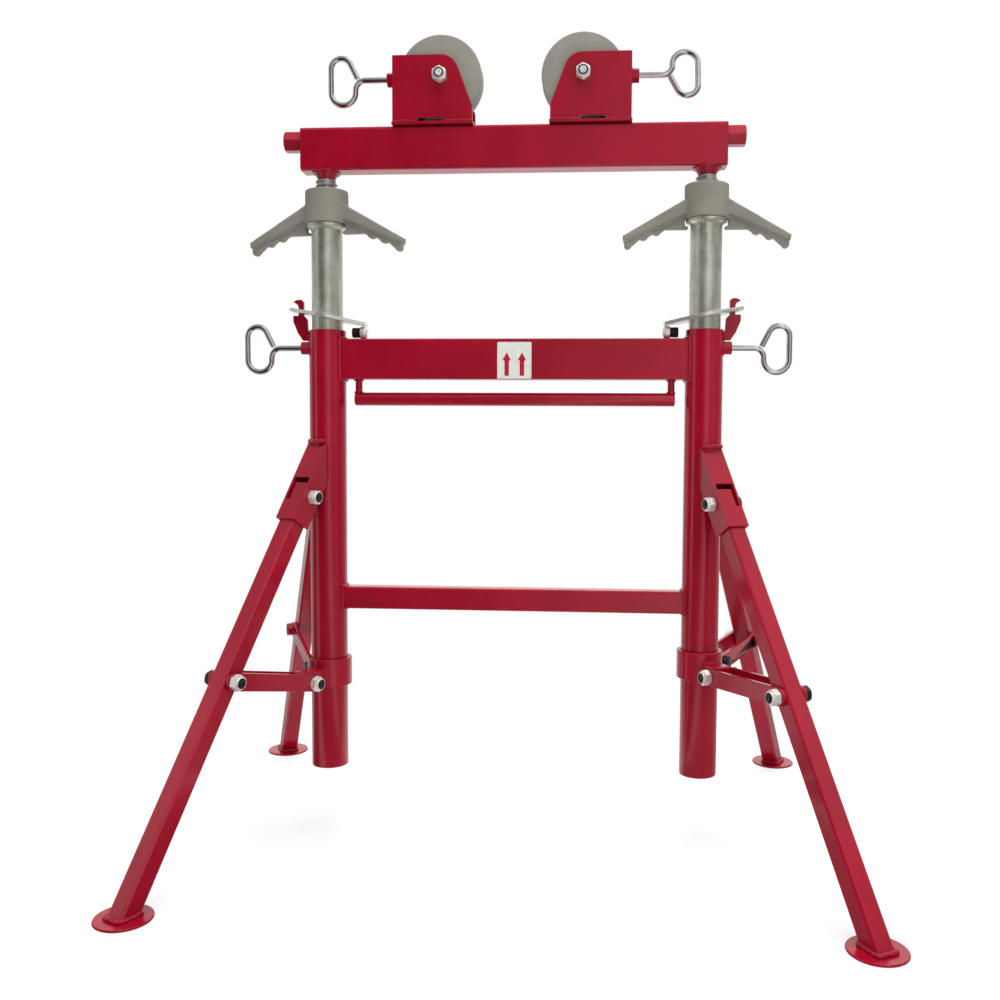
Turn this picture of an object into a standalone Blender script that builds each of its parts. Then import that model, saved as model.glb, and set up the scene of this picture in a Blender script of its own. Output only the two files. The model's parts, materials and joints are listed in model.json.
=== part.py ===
"""A folding pipe jack stand with two telescopic columns, a screw-lifted beam and two pipe rollers.

Metres, +Z up, origin on the floor in the middle of the stand's outline.
The columns stand side by side along X, and the legs spread to the front (-Y) and to the rear (+Y).
"""

import math

import bmesh
import bpy
from mathutils import Matrix, Vector

MM = 0.001
PART_NAME = "pipe_jack_stand"

# Fits shared by the whole stand
FIT = 0.3 * MM  # gap left between two pieces that touch
OVERRUN = 2.0 * MM  # how far a cutter runs past the material
EMBED = 1.0 * MM  # how deep a welded shape reaches into what carries it
MERGE = 0.01 * MM  # points nearer than this are one point

# Facets around a full turn
TUBE_FACETS = 32
ROLLER_FACETS = 48
SCREW_FACETS = 16
BOLT_FACETS = 12
HEX = 6
SHARP_ANGLE = math.radians(35)

SIDES = {"left": -1, "right": 1}
FACES = {"front": -1, "rear": 1}

# Columns
COLUMN_SPACING = 512.0 * MM
COLUMN_OD = 50.0 * MM
COLUMN_WALL = 3.5 * MM
COLUMN_BOTTOM = 83.0 * MM
COLUMN_TOP = 686.4 * MM
COLUMN_RADIUS = COLUMN_OD / 2

# Inner tubes with a thrust ring on top
INNER_OD = 42.0 * MM
INNER_WALL = 3.5 * MM
INNER_LENGTH = 479.0 * MM
THRUST_RING_OD = 54.0 * MM
THRUST_RING_HEIGHT = 8.2 * MM
THRUST_RING_LIP = 4.5 * MM
THRUST_RING_SHARES = (0.35, 0.45)  # a point of the ring's hollow underside, across and down
THRUST_RING_RISE = 142.6 * MM  # above the columns
RIGHT_MAST_RISE = 3.0 * MM  # the right inner tube is locked this much higher
INNER_RADIUS = INNER_OD / 2
THRUST_RING_TOP = COLUMN_TOP + THRUST_RING_RISE
INNER_BOTTOM = THRUST_RING_TOP - INNER_LENGTH

# Crossbars
UPPER_BAR_DROP = 11.7 * MM  # below the columns' tops
UPPER_BAR_HEIGHT = 55.0 * MM
UPPER_BAR_DEPTH = 30.0 * MM
UPPER_BAR_TOP = COLUMN_TOP - UPPER_BAR_DROP
UPPER_BAR_BOTTOM = UPPER_BAR_TOP - UPPER_BAR_HEIGHT
LOWER_BAR_DROP = 156.1 * MM  # from the left legs' pivots to the bar's lower edge
LOWER_BAR_HEIGHT = 30.5 * MM
LOWER_BAR_DEPTH = 25.0 * MM
BAR_WALL = 3.0 * MM
BAR_CORNER = 3.0 * MM
GUSSET_REACH = 9.0 * MM
GUSSET_HEIGHT = 11.0 * MM
GUSSET_THICK = 6.0 * MM

# Carry handle
HANDLE_OD = 18.0 * MM
HANDLE_LENGTH = 435.0 * MM
HANDLE_DROP = 26.2 * MM  # below the upper crossbar
HANDLE_EDGE = 1.0 * MM
HANDLE_HEIGHT = UPPER_BAR_BOTTOM - HANDLE_DROP
DROP_ROD_OD = 9.5 * MM
DROP_ROD_INSET = 4.8 * MM

# Legs
LEG_AZIMUTH = math.radians(27)  # turned outward from the front and rear directions
LEG_SPREAD = {"left": math.radians(32.6), "right": math.radians(33.4)}
LEG_WIDTH = 25.4 * MM
LEG_WALL = 2.5 * MM
LEG_CORNER = 2.5 * MM
LEG_TOP = 15.5 * MM  # leg above its pivot
LEG_LENGTH = 543.2 * MM  # pivot to foot, along the leg
PIVOT_RADIUS = 50.0 * MM  # column axis to leg pivot and to collar pivot
FOOT_RADIUS = 33.2 * MM
FOOT_THICK = 3.0 * MM
FOOT_EDGE = 0.8 * MM

# Leg brackets, in the leg's own frame: X outward, Y across, Z up the leg
BRACKET_WALL = 3.0 * MM
BRACKET_BACK = 15.3 * MM
BRACKET_BELOW = 41.3 * MM
BRACKET_ABOVE = 86.0 * MM
BRACKET_TOP_RISE = 73.0 * MM  # level top edge, above the pivot
WINDOW_BELOW = 11.6 * MM
WINDOW_ABOVE = 21.6 * MM

# Links and collars
LINK_DOWN_LEG = 262.0 * MM  # leg pivot to link pivot
LINK_LENGTH = 144.5 * MM
LINK_HEIGHT = 22.4 * MM
LINK_THICK = 5.0 * MM
LINK_ARC_STEPS = 9
COLLAR_OD = 61.5 * MM
COLLAR_ID = 51.0 * MM
COLLAR_ABOVE = 26.3 * MM
COLLAR_BELOW = 12.0 * MM
COLLAR_EDGE = 1.0 * MM
LUG_START = 27.5 * MM
LUG_END = 60.0 * MM
LUG_ABOVE = 14.0 * MM
LUG_EDGE = 1.5 * MM

# Cross bolts with a plain head outside and a lock nut on the side of the stand's middle
BOLT_OD = 12.0 * MM
BOLT_ACROSS_FLATS = 18.0 * MM
BOLT_HEAD = 7.5 * MM
LOCK_NUT_HEX = 9.0 * MM
LOCK_NUT_CROWN = 3.0 * MM
LOCK_NUT_CROWN_OD = 16.0 * MM
BOLT_PROUD = 1.5 * MM

# Lock screws and brake screws, bent from one wire
WIRE_OD = 7.8 * MM
WELD_NUT_FLATS = 17.0 * MM
LOCK_BOSS_LENGTH = 11.0 * MM
LOCK_DROP = 23.9 * MM  # below the columns' tops
LOCK_HEIGHT = COLUMN_TOP - LOCK_DROP
LOCK_BEND_START = 65.5 * MM  # column axis to the wire's first bend
WIRE_BEND_RADIUS = 13.0 * MM
LOOP_LOWER_RADIUS = 16.75 * MM
LOOP_UPPER_RADIUS = 14.0 * MM
LOOP_LOWER_DROP = 15.5 * MM
LOOP_UPPER_RISE = 15.4 * MM
LOOP_TAIL_LENGTH = 22.0 * MM
LOOP_TAIL_LEAN = math.radians(26.5)
LOOP_ARC_STEPS = 10
BEND_ARC_STEPS = 5
BRAKE_LOOP_TURN = {"left": 0.0, "right": math.radians(168)}

# Hook plates on the columns' outer sides: reaches are measured outward from the column
GRIP_HINGE_RISE = 25.6 * MM  # where a grip plate pivots, above the columns' tops
GRIP_HINGE_HEIGHT = COLUMN_TOP + GRIP_HINGE_RISE
HOOK_THICK = 5.0 * MM
HOOK_NECK_INNER = 7.6 * MM
HOOK_NECK_OUTER = 15.0 * MM
HOOK_REACH = 22.4 * MM
HOOK_FOOT_REACH = 8.9 * MM
HOOK_WAIST_DROP = 3.4 * MM  # below the column's top
HOOK_WAIST_REACH = 16.0 * MM
HOOK_WELD_DROP = 1.4 * MM
HOOK_SHOULDER_DROP = 13.2 * MM  # below the grip plate's pivot
HOOK_NOTCH_DROP = 5.2 * MM
HOOK_NOTCH_RISE = 7.6 * MM
HOOK_TIP_RISE = 13.3 * MM
HOOK_TOP_RISE = 16.5 * MM
HOOK_FOOT = LOCK_HEIGHT + WELD_NUT_FLATS / math.sqrt(3) + FIT  # just clears the welded nut
HOOK_WAIST = COLUMN_TOP - HOOK_WAIST_DROP
HOOK_WELD_TOP = COLUMN_TOP - HOOK_WELD_DROP
HOOK_SHOULDER = GRIP_HINGE_HEIGHT - HOOK_SHOULDER_DROP
HOOK_NOTCH_BOTTOM = GRIP_HINGE_HEIGHT - HOOK_NOTCH_DROP
HOOK_NOTCH_TOP = GRIP_HINGE_HEIGHT + HOOK_NOTCH_RISE
HOOK_TIP = GRIP_HINGE_HEIGHT + HOOK_TIP_RISE
HOOK_TOP = GRIP_HINGE_HEIGHT + HOOK_TOP_RISE
HOOK_CLEAR_LOW = 1.8 * MM
HOOK_CLEAR_HIGH = 2.6 * MM
HOOK_CROWN_INNER = 11.0 * MM
HOOK_CROWN_OUTER = 17.0 * MM

# Grip plates that clamp the inner tubes
GRIP_THICK = 4.5 * MM
GRIP_WIDTH = 62.0 * MM
GRIP_END_WIDTH = 22.0 * MM
GRIP_OUTWARD = 50.0 * MM
GRIP_INWARD = 55.5 * MM
GRIP_SLOT_LENGTH = 12.0 * MM
GRIP_SLOT_PLAY = 0.75 * MM
GRIP_HINGE_REACH = 11.3 * MM  # hook neck's middle, outward from the column
GRIP_ARC_STEPS = 12

# Stop bolts that lie on the upper crossbar under the grip plates' inner ends
STOP_HEAD_OD = 17.0 * MM
STOP_HEAD_LENGTH = 10.0 * MM
STOP_DOME = 3.0 * MM
STOP_NUT_FLATS = 13.0 * MM
STOP_NUT_LENGTH = 11.0 * MM
STOP_END_REACH = 56.0 * MM  # column axis to the head's inner end

# Jack screws and jack nuts
JACK_SCREW_OD = 30.0 * MM
JACK_SCREW_LENGTH = 199.0 * MM  # below the beam
JACK_SPIGOT_OD = 20.0 * MM
HUB_OD = 58.0 * MM
HUB_HEIGHT = 44.7 * MM
HUB_EDGE = 2.5 * MM
ARM_REACH = 110.5 * MM
ARM_ROOT = 20.0 * MM
FLANGE_ROOT_TOP = 29.6 * MM  # heights of the arms are above the hub's lower rim
FLANGE_ROOT_BOTTOM = 8.9 * MM
FLANGE_TIP_TOP = -21.9 * MM
FLANGE_TIP_BOTTOM = -28.9 * MM
FLANGE_TIP_REACH = 109.5 * MM
FLANGE_ROOT_WIDTH = 24.0 * MM
FLANGE_TIP_WIDTH = 18.0 * MM
RIB_THICK = 10.0 * MM
RIB_RING_GAP = 1.5 * MM
RIB_TUBE_GAP = 3.0 * MM
RIB_FLAT_DROP = 13.6 * MM
RIB_FLAT_END = 54.6 * MM
RIB_END = 108.5 * MM
LOBES = (
    {"reach": 65.8 * MM, "drop": 14.5 * MM, "radius": 6.5 * MM},
    {"reach": 83.0 * MM, "drop": 21.6 * MM, "radius": 6.0 * MM},
    {"reach": 103.9 * MM, "drop": 34.4 * MM, "radius": 4.6 * MM},
)
LOBE_FROM = math.radians(200)
LOBE_TO = math.radians(320)
LOBE_ARC_STEPS = 6
JACK_NUT_TURN = {"left": math.radians(-8), "right": 0.0}

# Roller beam
BEAM_LENGTH = 568.8 * MM
BEAM_OFFSET = -3.5 * MM  # the beam's middle, from the middle between the columns
BEAM_RISE = 70.0 * MM  # beam's lower edge above the thrust rings
BEAM_HEIGHT = 57.0 * MM
BEAM_DEPTH = 34.0 * MM
BEAM_WALL = 3.0 * MM
BEAM_CORNER = 5.0 * MM
BEAM_END_PLATE = 5.0 * MM
BEAM_BOTTOM = THRUST_RING_TOP + BEAM_RISE
BEAM_TOP = BEAM_BOTTOM + BEAM_HEIGHT
BOSS_TOP_OD = 36.0 * MM
BOSS_BOTTOM_WALL = 1.2 * MM
BOSS_HEIGHT = 9.5 * MM

# Traverse screw that moves both roller brackets
TRAVERSE_OD = 16.0 * MM
TRAVERSE_RISE = 41.0 * MM  # above the beam's lower edge
TRAVERSE_HEIGHT = BEAM_BOTTOM + TRAVERSE_RISE
TRAVERSE_HEX = 25.0 * MM
TRAVERSE_HEX_LENGTH = 24.0 * MM
TRAVERSE_IN = 35.0 * MM
TRAVERSE_OUT = 100.0 * MM

# Roller brackets, in a frame on the axle with X toward the stand's outside
ROLLER_SPACING = 189.4 * MM
AXLE_RISE = 62.7 * MM  # above the beam
AXLE_HEIGHT = BEAM_TOP + AXLE_RISE
BRACKET_OUTER = 63.6 * MM
BRACKET_INNER = 43.3 * MM
CHEEK_THICK = 4.0 * MM
CHEEK_TOP = 27.5 * MM
CHEEK_CORNER_RADIUS = 24.0 * MM
CHEEK_CORNER_START = 1.0 * MM
CHEEK_CORNER_TURN = math.radians(70)
CHEEK_SLANT_BOTTOM = 40.2 * MM
CHEEK_ARC_STEPS = 6
FORK_INNER_HALF = 16.0 * MM
BASE_THICK = 3.5 * MM
BASE_LIP = 1.2 * MM
BASE_SIDE_LIP = 1.5 * MM
NOTCH_REACH = 13.4 * MM  # axle to the middle of the slots between cheeks and base
NOTCH_LENGTH = 39.0 * MM
NOTCH_TOP_LENGTH = 30.0 * MM
NOTCH_HEIGHT = 4.6 * MM
NECK_REACH = 38.0 * MM
NECK_LENGTH = 20.0 * MM
NECK_WIDTH = 10.0 * MM
CARRIER_LENGTH = 24.0 * MM
CARRIER_SIZE = 24.0 * MM
SLOT_PLAY = 1.0 * MM
BRAKE_NUT_LENGTH = 10.0 * MM
BRAKE_RISE = 1.8 * MM
BRAKE_BEND_START = 104.2 * MM

# Rollers
ROLLER_OD = 110.0 * MM
ROLLER_WIDTH = 29.0 * MM
ROLLER_EDGE = 1.5 * MM

# Colour, metallic and roughness of each finish
FINISHES = {
    "red_paint": ((0.27, 0.005, 0.022, 1.0), 0.0, 0.35),
    "zinc": ((0.56, 0.56, 0.50, 1.0), 0.9, 0.38),
    "chrome": ((0.72, 0.71, 0.69, 1.0), 1.0, 0.15),
    "grey_cast": ((0.30, 0.29, 0.26, 1.0), 0.1, 0.55),
    "bright_steel": ((0.62, 0.62, 0.61, 1.0), 1.0, 0.25),
}


def column_reach(side_name):
    """Middle of the columns to the outermost edge of that side's feet."""
    foot = PIVOT_RADIUS + LEG_LENGTH * math.sin(LEG_SPREAD[side_name])
    return COLUMN_SPACING / 2 + foot * math.sin(LEG_AZIMUTH) + FOOT_RADIUS


MIDDLE_X = -(column_reach("right") - column_reach("left")) / 2


def clear_scene():
    for obj in list(bpy.data.objects):
        bpy.data.objects.remove(obj)


def new_collection(name):
    collection = bpy.data.collections.new(name)
    bpy.context.scene.collection.children.link(collection)
    return collection


clear_scene()
PARTS = new_collection(PART_NAME)
TOOLS = new_collection("cutters")


def new_object(name, data, frame=None):
    obj = bpy.data.objects.new(name, data)
    PARTS.objects.link(obj)
    if frame is not None:
        obj.matrix_world = frame
    return obj


def object_from_bmesh(name, bm, frame=None):
    mesh = bpy.data.meshes.new(name)
    bm.to_mesh(mesh)
    bm.free()
    return new_object(name, mesh, frame)


def shift(x=0.0, y=0.0, z=0.0):
    return Matrix.Translation((x, y, z))


def turn(angle, axis):
    return Matrix.Rotation(angle, 4, axis)


def box(name, low, high, frame=None):
    """A box between two corners."""
    low = Vector(low)
    high = Vector(high)
    bm = bmesh.new()
    scale = Matrix.Diagonal((high - low).to_4d())
    scale[3][3] = 1.0
    bmesh.ops.create_cube(bm, size=1.0, matrix=Matrix.Translation((low + high) / 2) @ scale)
    return object_from_bmesh(name, bm, frame)


def rod(name, radius, start, end, facets, frame=None, end_radius=None):
    """A round or six-sided bar between two points, tapered if an end radius is given."""
    start = Vector(start)
    end = Vector(end)
    along = end - start
    place = Matrix.Translation((start + end) / 2) @ along.to_track_quat("Z", "Y").to_matrix().to_4x4()
    bm = bmesh.new()
    bmesh.ops.create_cone(
        bm,
        cap_ends=True,
        segments=facets,
        radius1=radius,
        radius2=radius if end_radius is None else end_radius,
        depth=along.length,
        matrix=place,
    )
    return object_from_bmesh(name, bm, frame)


def hex_radius(across_flats):
    return across_flats / math.sqrt(3)


def baked_mesh(obj):
    """The object's evaluated mesh, with its loose caps joined."""
    bpy.context.view_layer.update()
    mesh = bpy.data.meshes.new_from_object(obj.evaluated_get(bpy.context.evaluated_depsgraph_get()))
    bm = bmesh.new()
    bm.from_mesh(mesh)
    bmesh.ops.remove_doubles(bm, verts=bm.verts, dist=MERGE)
    bm.to_mesh(mesh)
    bm.free()
    return mesh


def turned(name, profile, facets, frame=None):
    """A solid of revolution about Z. The profile's outer side runs from top to bottom."""
    bm = bmesh.new()
    points = [bm.verts.new((radius, 0.0, height)) for radius, height in profile]
    for first, second in zip(points, points[1:]):
        bm.edges.new((first, second))
    if profile[0][0] > 0 and profile[-1][0] > 0:
        bm.edges.new((points[-1], points[0]))
    obj = object_from_bmesh(name, bm, frame)
    screw = obj.modifiers.new("turned", "SCREW")
    screw.steps = facets
    screw.render_steps = facets
    screw.use_merge_vertices = True
    screw.merge_threshold = MERGE
    return obj


def plate(name, outlines, thickness, frame=None):
    """A flat plate in the XZ plane, centred on Y, from one outer outline and any holes."""
    curve = bpy.data.curves.new(name, "CURVE")
    curve.dimensions = "2D"
    curve.fill_mode = "BOTH"
    curve.extrude = thickness / 2
    for outline in outlines:
        spline = curve.splines.new("POLY")
        spline.points.add(len(outline) - 1)
        for point, (across, up) in zip(spline.points, outline):
            point.co = (across, up, 0.0, 1.0)
        spline.use_cyclic_u = True
    guide = new_object(name + "_outline", curve)
    mesh = baked_mesh(guide)
    mesh.name = name
    mesh.transform(turn(math.radians(90), "X"))
    bpy.data.objects.remove(guide)
    return new_object(name, mesh, frame)


def wire(name, points, frame=None):
    """A round wire through the points, with closed ends."""
    curve = bpy.data.curves.new(name, "CURVE")
    curve.dimensions = "3D"
    curve.bevel_depth = WIRE_OD / 2
    curve.bevel_resolution = 2
    curve.use_fill_caps = True
    spline = curve.splines.new("POLY")
    spline.points.add(len(points) - 1)
    for point, place in zip(spline.points, points):
        point.co = (*place, 1.0)
    guide = new_object(name + "_line", curve)
    mesh = baked_mesh(guide)
    mesh.name = name
    bpy.data.objects.remove(guide)
    return new_object(name, mesh, frame)


def arc(centre, radius, start, end, steps):
    """Points on an arc in a plane, both ends included."""
    points = []
    for step in range(steps + 1):
        angle = start + (end - start) * step / steps
        points.append((centre[0] + radius * math.cos(angle), centre[1] + radius * math.sin(angle)))
    return points


def combine(target, tool, operation):
    """Adds a live Boolean and files its second shape with the cutters, carried by the target."""
    modifier = target.modifiers.new(tool.name, "BOOLEAN")
    modifier.operation = operation
    modifier.solver = "EXACT"
    modifier.object = tool
    PARTS.objects.unlink(tool)
    TOOLS.objects.link(tool)
    tool.parent = target
    tool.hide_render = True
    tool.display_type = "WIRE"
    return target


def cut(target, tool):
    return combine(target, tool, "DIFFERENCE")


def weld(target, piece):
    return combine(target, piece, "UNION")


def round_edges(obj, width, segments=1, long_axis=None):
    """Bevels every edge, or only the edges that run along one axis."""
    bevel = obj.modifiers.new("rounded_edges", "BEVEL")
    bevel.width = width
    bevel.segments = segments
    bevel.limit_method = "ANGLE"
    if long_axis is None:
        return obj
    bevel.limit_method = "WEIGHT"
    weights = obj.data.attributes.new("bevel_weight_edge", "FLOAT", "EDGE")
    for edge in obj.data.edges:
        first, second = (obj.data.vertices[index].co for index in edge.vertices)
        along = (second - first).normalized()
        weights.data[edge.index].value = 1.0 if abs(along[long_axis]) > math.cos(SHARP_ANGLE) else 0.0
    return obj


def finish(obj, finish_name, frame=None):
    """Places a finished piece, shades it and gives it a material of its own."""
    colour, metallic, roughness = FINISHES[finish_name]
    material = bpy.data.materials.new(f"{obj.name}_{finish_name}")
    material.use_nodes = True
    shader = material.node_tree.nodes["Principled BSDF"]
    shader.inputs["Base Color"].default_value = colour
    shader.inputs["Metallic"].default_value = metallic
    shader.inputs["Roughness"].default_value = roughness
    obj.data.materials.clear()
    obj.data.materials.append(material)
    obj.data.shade_smooth()
    obj.data.set_sharp_from_angle(angle=SHARP_ANGLE)
    if frame is not None:
        obj.matrix_world = frame
    return obj


def column_x(side_name):
    return MIDDLE_X + SIDES[side_name] * COLUMN_SPACING / 2


def side_frame(side_name, x, z=0.0):
    """A frame whose X axis points to the stand's outside."""
    return shift(x=x, z=z) @ turn(math.pi if SIDES[side_name] < 0 else 0.0, "Z")


def column_frame(side_name, z=0.0):
    return side_frame(side_name, column_x(side_name), z)


def mast_rise(side_name):
    return RIGHT_MAST_RISE if side_name == "right" else 0.0


def tube_profile(outer_radius, inner_radius, bottom, top):
    return [(outer_radius, top), (outer_radius, bottom), (inner_radius, bottom), (inner_radius, top)]


def leg_pivot_height(side_name):
    return FOOT_THICK + LEG_LENGTH * math.cos(LEG_SPREAD[side_name])


def link_angle(spread):
    """Slope of the links above the horizontal, from the collar up to the leg."""
    return math.acos(LINK_DOWN_LEG * math.sin(spread) / LINK_LENGTH)


def collar_height(side_name, spread):
    link_pivot = leg_pivot_height(side_name) - LINK_DOWN_LEG * math.cos(spread)
    return link_pivot - LINK_LENGTH * math.sin(link_angle(spread))


def leg_heading(side_name, face_name):
    """Angle of the leg's vertical plane about Z."""
    sideways = SIDES[side_name] * math.sin(LEG_AZIMUTH)
    forward = FACES[face_name] * math.cos(LEG_AZIMUTH)
    return math.atan2(forward, sideways)


def radial_frame(side_name, face_name, height, slope):
    """A frame on a leg pivot: X leads away from the column, tilted up by the slope, and Y is the pivot axis."""
    heading = turn(leg_heading(side_name, face_name), "Z")
    return shift(x=column_x(side_name), z=height) @ heading @ shift(x=PIVOT_RADIUS) @ turn(-slope, "Y")


def leg_frame(side_name, face_name):
    """Z leads up the leg from its pivot."""
    return radial_frame(side_name, face_name, leg_pivot_height(side_name), LEG_SPREAD[side_name])


def link_frame(side_name, face_name):
    spread = LEG_SPREAD[side_name]
    return radial_frame(side_name, face_name, collar_height(side_name, spread), link_angle(spread))


def inward_sign(side_name, face_name):
    """Which way along a pivot axis the stand's middle lies."""
    return SIDES[side_name] * FACES[face_name]


def weld_nut(name, x_from, x_to, height):
    return rod(name, hex_radius(WELD_NUT_FLATS), (x_from, 0, height), (x_to, 0, height), HEX)


def make_column(side_name):
    name = f"column_{side_name}"
    inner_radius = COLUMN_RADIUS - COLUMN_WALL
    column = turned(name, tube_profile(COLUMN_RADIUS, inner_radius, COLUMN_BOTTOM, COLUMN_TOP), TUBE_FACETS)
    boss_end = COLUMN_RADIUS + LOCK_BOSS_LENGTH
    weld(column, weld_nut(f"{name}_boss", COLUMN_RADIUS - EMBED, boss_end, LOCK_HEIGHT))
    hole_from = (inner_radius - OVERRUN, 0, LOCK_HEIGHT)
    hole_to = (boss_end + OVERRUN, 0, LOCK_HEIGHT)
    cut(column, rod(f"{name}_screw_hole", WIRE_OD / 2 + FIT, hole_from, hole_to, BOLT_FACETS))
    gusset_top = UPPER_BAR_TOP + GUSSET_HEIGHT
    gusset_outline = [
        (-COLUMN_RADIUS + EMBED, UPPER_BAR_TOP + FIT),
        (-COLUMN_RADIUS + EMBED, gusset_top),
        (-COLUMN_RADIUS - EMBED, gusset_top),
        (-COLUMN_RADIUS - GUSSET_REACH, UPPER_BAR_TOP + EMBED),
        (-COLUMN_RADIUS - GUSSET_REACH, UPPER_BAR_TOP + FIT),
    ]
    weld(column, plate(f"{name}_gusset", [gusset_outline], GUSSET_THICK))
    return finish(column, "red_paint", column_frame(side_name))


def lower_bar_bottom():
    return leg_pivot_height("left") - LOWER_BAR_DROP


def make_crossbar(name, bottom, top, depth):
    half = COLUMN_SPACING / 2
    bar = box(name, (-half, -depth / 2, bottom), (half, depth / 2, top))
    round_edges(bar, BAR_CORNER, 2, long_axis=0)
    hollow_low = (-half - OVERRUN, BAR_WALL - depth / 2, bottom + BAR_WALL)
    hollow_high = (half + OVERRUN, depth / 2 - BAR_WALL, top - BAR_WALL)
    cut(bar, box(f"{name}_hollow", hollow_low, hollow_high))
    for side_name, side in SIDES.items():
        below = (side * half, 0, bottom - OVERRUN)
        above = (side * half, 0, top + OVERRUN)
        cut(bar, rod(f"{name}_cope_{side_name}", COLUMN_RADIUS + FIT, below, above, TUBE_FACETS))
    return finish(bar, "red_paint", shift(x=MIDDLE_X))


def make_carry_handle():
    half = HANDLE_LENGTH / 2
    start = (-half, 0, HANDLE_HEIGHT)
    end = (half, 0, HANDLE_HEIGHT)
    handle = rod("carry_handle", HANDLE_OD / 2, start, end, SCREW_FACETS)
    round_edges(handle, HANDLE_EDGE)
    for side_name, side in SIDES.items():
        x = side * (half - DROP_ROD_INSET)
        top = (x, 0, UPPER_BAR_BOTTOM - FIT)
        drop = rod(f"carry_handle_drop_{side_name}", DROP_ROD_OD / 2, (x, 0, HANDLE_HEIGHT), top, BOLT_FACETS)
        weld(handle, drop)
    return finish(handle, "red_paint", shift(x=MIDDLE_X))


def make_hook_plate(side_name):
    r = COLUMN_RADIUS
    outline = [
        (r + FIT, HOOK_FOOT),
        (r + HOOK_FOOT_REACH, HOOK_FOOT),
        (r + HOOK_WAIST_REACH, HOOK_WAIST),
        (r + HOOK_REACH, HOOK_SHOULDER),
        (r + HOOK_REACH, HOOK_NOTCH_BOTTOM),
        (r + HOOK_NECK_OUTER, HOOK_NOTCH_BOTTOM),
        (r + HOOK_NECK_OUTER, HOOK_NOTCH_TOP),
        (r + HOOK_CROWN_OUTER, (HOOK_NOTCH_TOP + HOOK_TIP) / 2),
        (r + HOOK_REACH, HOOK_TIP),
        (r + HOOK_CROWN_OUTER, HOOK_TOP),
        (r + HOOK_CROWN_INNER, HOOK_TOP),
        (r + HOOK_NECK_INNER, HOOK_TIP),
        (r + HOOK_NECK_INNER, HOOK_NOTCH_BOTTOM),
        (r + HOOK_CLEAR_HIGH, HOOK_SHOULDER + HOOK_CLEAR_HIGH),
        (r + HOOK_CLEAR_LOW, HOOK_WELD_TOP + HOOK_CLEAR_LOW),
        (r + FIT, HOOK_WELD_TOP),
    ]
    hook = plate(f"hook_plate_{side_name}", [outline], HOOK_THICK)
    return finish(hook, "red_paint", column_frame(side_name))


def stop_head_height():
    """Height of the stop bolt's axis, with its head lying on the upper crossbar."""
    return UPPER_BAR_TOP + FIT + STOP_HEAD_OD / 2


def grip_tilt():
    """Slope of a grip plate whose inner end rests on the stop bolt's head."""
    length = COLUMN_RADIUS + GRIP_HINGE_REACH + GRIP_INWARD
    drop = GRIP_HINGE_HEIGHT - (stop_head_height() + STOP_HEAD_OD / 2 + FIT)
    half = GRIP_THICK / 2
    return math.asin(drop / math.hypot(length, half)) - math.atan2(half, length)


def grip_hole_radius():
    """The hole just clears the inner tube while the plate is tilted."""
    tilt = grip_tilt()
    across = 2 * (INNER_RADIUS + 2 * FIT) + GRIP_THICK * math.sin(tilt)
    return across / math.cos(tilt) / 2


def make_grip_plate(side_name):
    name = f"grip_plate_{side_name}"
    tilt = grip_tilt()
    hinge_reach = COLUMN_RADIUS + GRIP_HINGE_REACH
    tube_centre = -hinge_reach / math.cos(tilt) - math.tan(tilt) * GRIP_THICK / 2
    half_end = GRIP_END_WIDTH / 2
    radius = GRIP_WIDTH / 2
    outer_end = GRIP_OUTWARD - COLUMN_RADIUS - GRIP_HINGE_REACH
    inner_end = -hinge_reach - GRIP_INWARD

    def tangent_angle(end):
        return math.atan2(half_end, end) + math.acos(radius / math.hypot(end, half_end))

    outer_angle = tangent_angle(outer_end - tube_centre)
    inner_angle = math.pi - tangent_angle(tube_centre - inner_end)
    upper = arc((tube_centre, 0), radius, outer_angle, inner_angle, GRIP_ARC_STEPS)
    lower = [(across, -aside) for across, aside in reversed(upper)]
    outline = [(outer_end, -half_end), (outer_end, half_end), *upper]
    outline += [(inner_end, half_end), (inner_end, -half_end), *lower]
    hole = arc((tube_centre, 0), grip_hole_radius(), 0, math.tau, TUBE_FACETS)[:-1]
    half_slot = GRIP_SLOT_LENGTH / 2
    slot_side = HOOK_THICK / 2 + GRIP_SLOT_PLAY
    slot = [(-half_slot, -slot_side), (half_slot, -slot_side), (half_slot, slot_side), (-half_slot, slot_side)]
    grip = plate(name, [outline, hole, slot], GRIP_THICK)
    grip.data.transform(turn(math.radians(90), "X"))
    hinge = column_frame(side_name, GRIP_HINGE_HEIGHT) @ shift(x=hinge_reach)
    return finish(grip, "zinc", hinge @ turn(-tilt, "Y"))


def make_stop_bolt(side_name):
    name = f"stop_bolt_{side_name}"
    height = stop_head_height()
    head_inner = -STOP_END_REACH + STOP_DOME
    head_outer = -STOP_END_REACH + STOP_HEAD_LENGTH
    radius = STOP_HEAD_OD / 2
    bolt = rod(name, radius, (head_inner, 0, height), (head_outer, 0, height), BOLT_FACETS)
    dome_tip = (-STOP_END_REACH, 0, height)
    dome_root = (head_inner + EMBED, 0, height)
    weld(bolt, rod(f"{name}_dome", radius - STOP_DOME, dome_tip, dome_root, BOLT_FACETS, end_radius=radius - EMBED / 2))
    nut_from = (head_outer - EMBED, 0, height)
    nut_to = (head_outer + STOP_NUT_LENGTH, 0, height)
    weld(bolt, rod(f"{name}_nut", hex_radius(STOP_NUT_FLATS), nut_from, nut_to, HEX))
    return finish(bolt, "bright_steel", column_frame(side_name))


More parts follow.
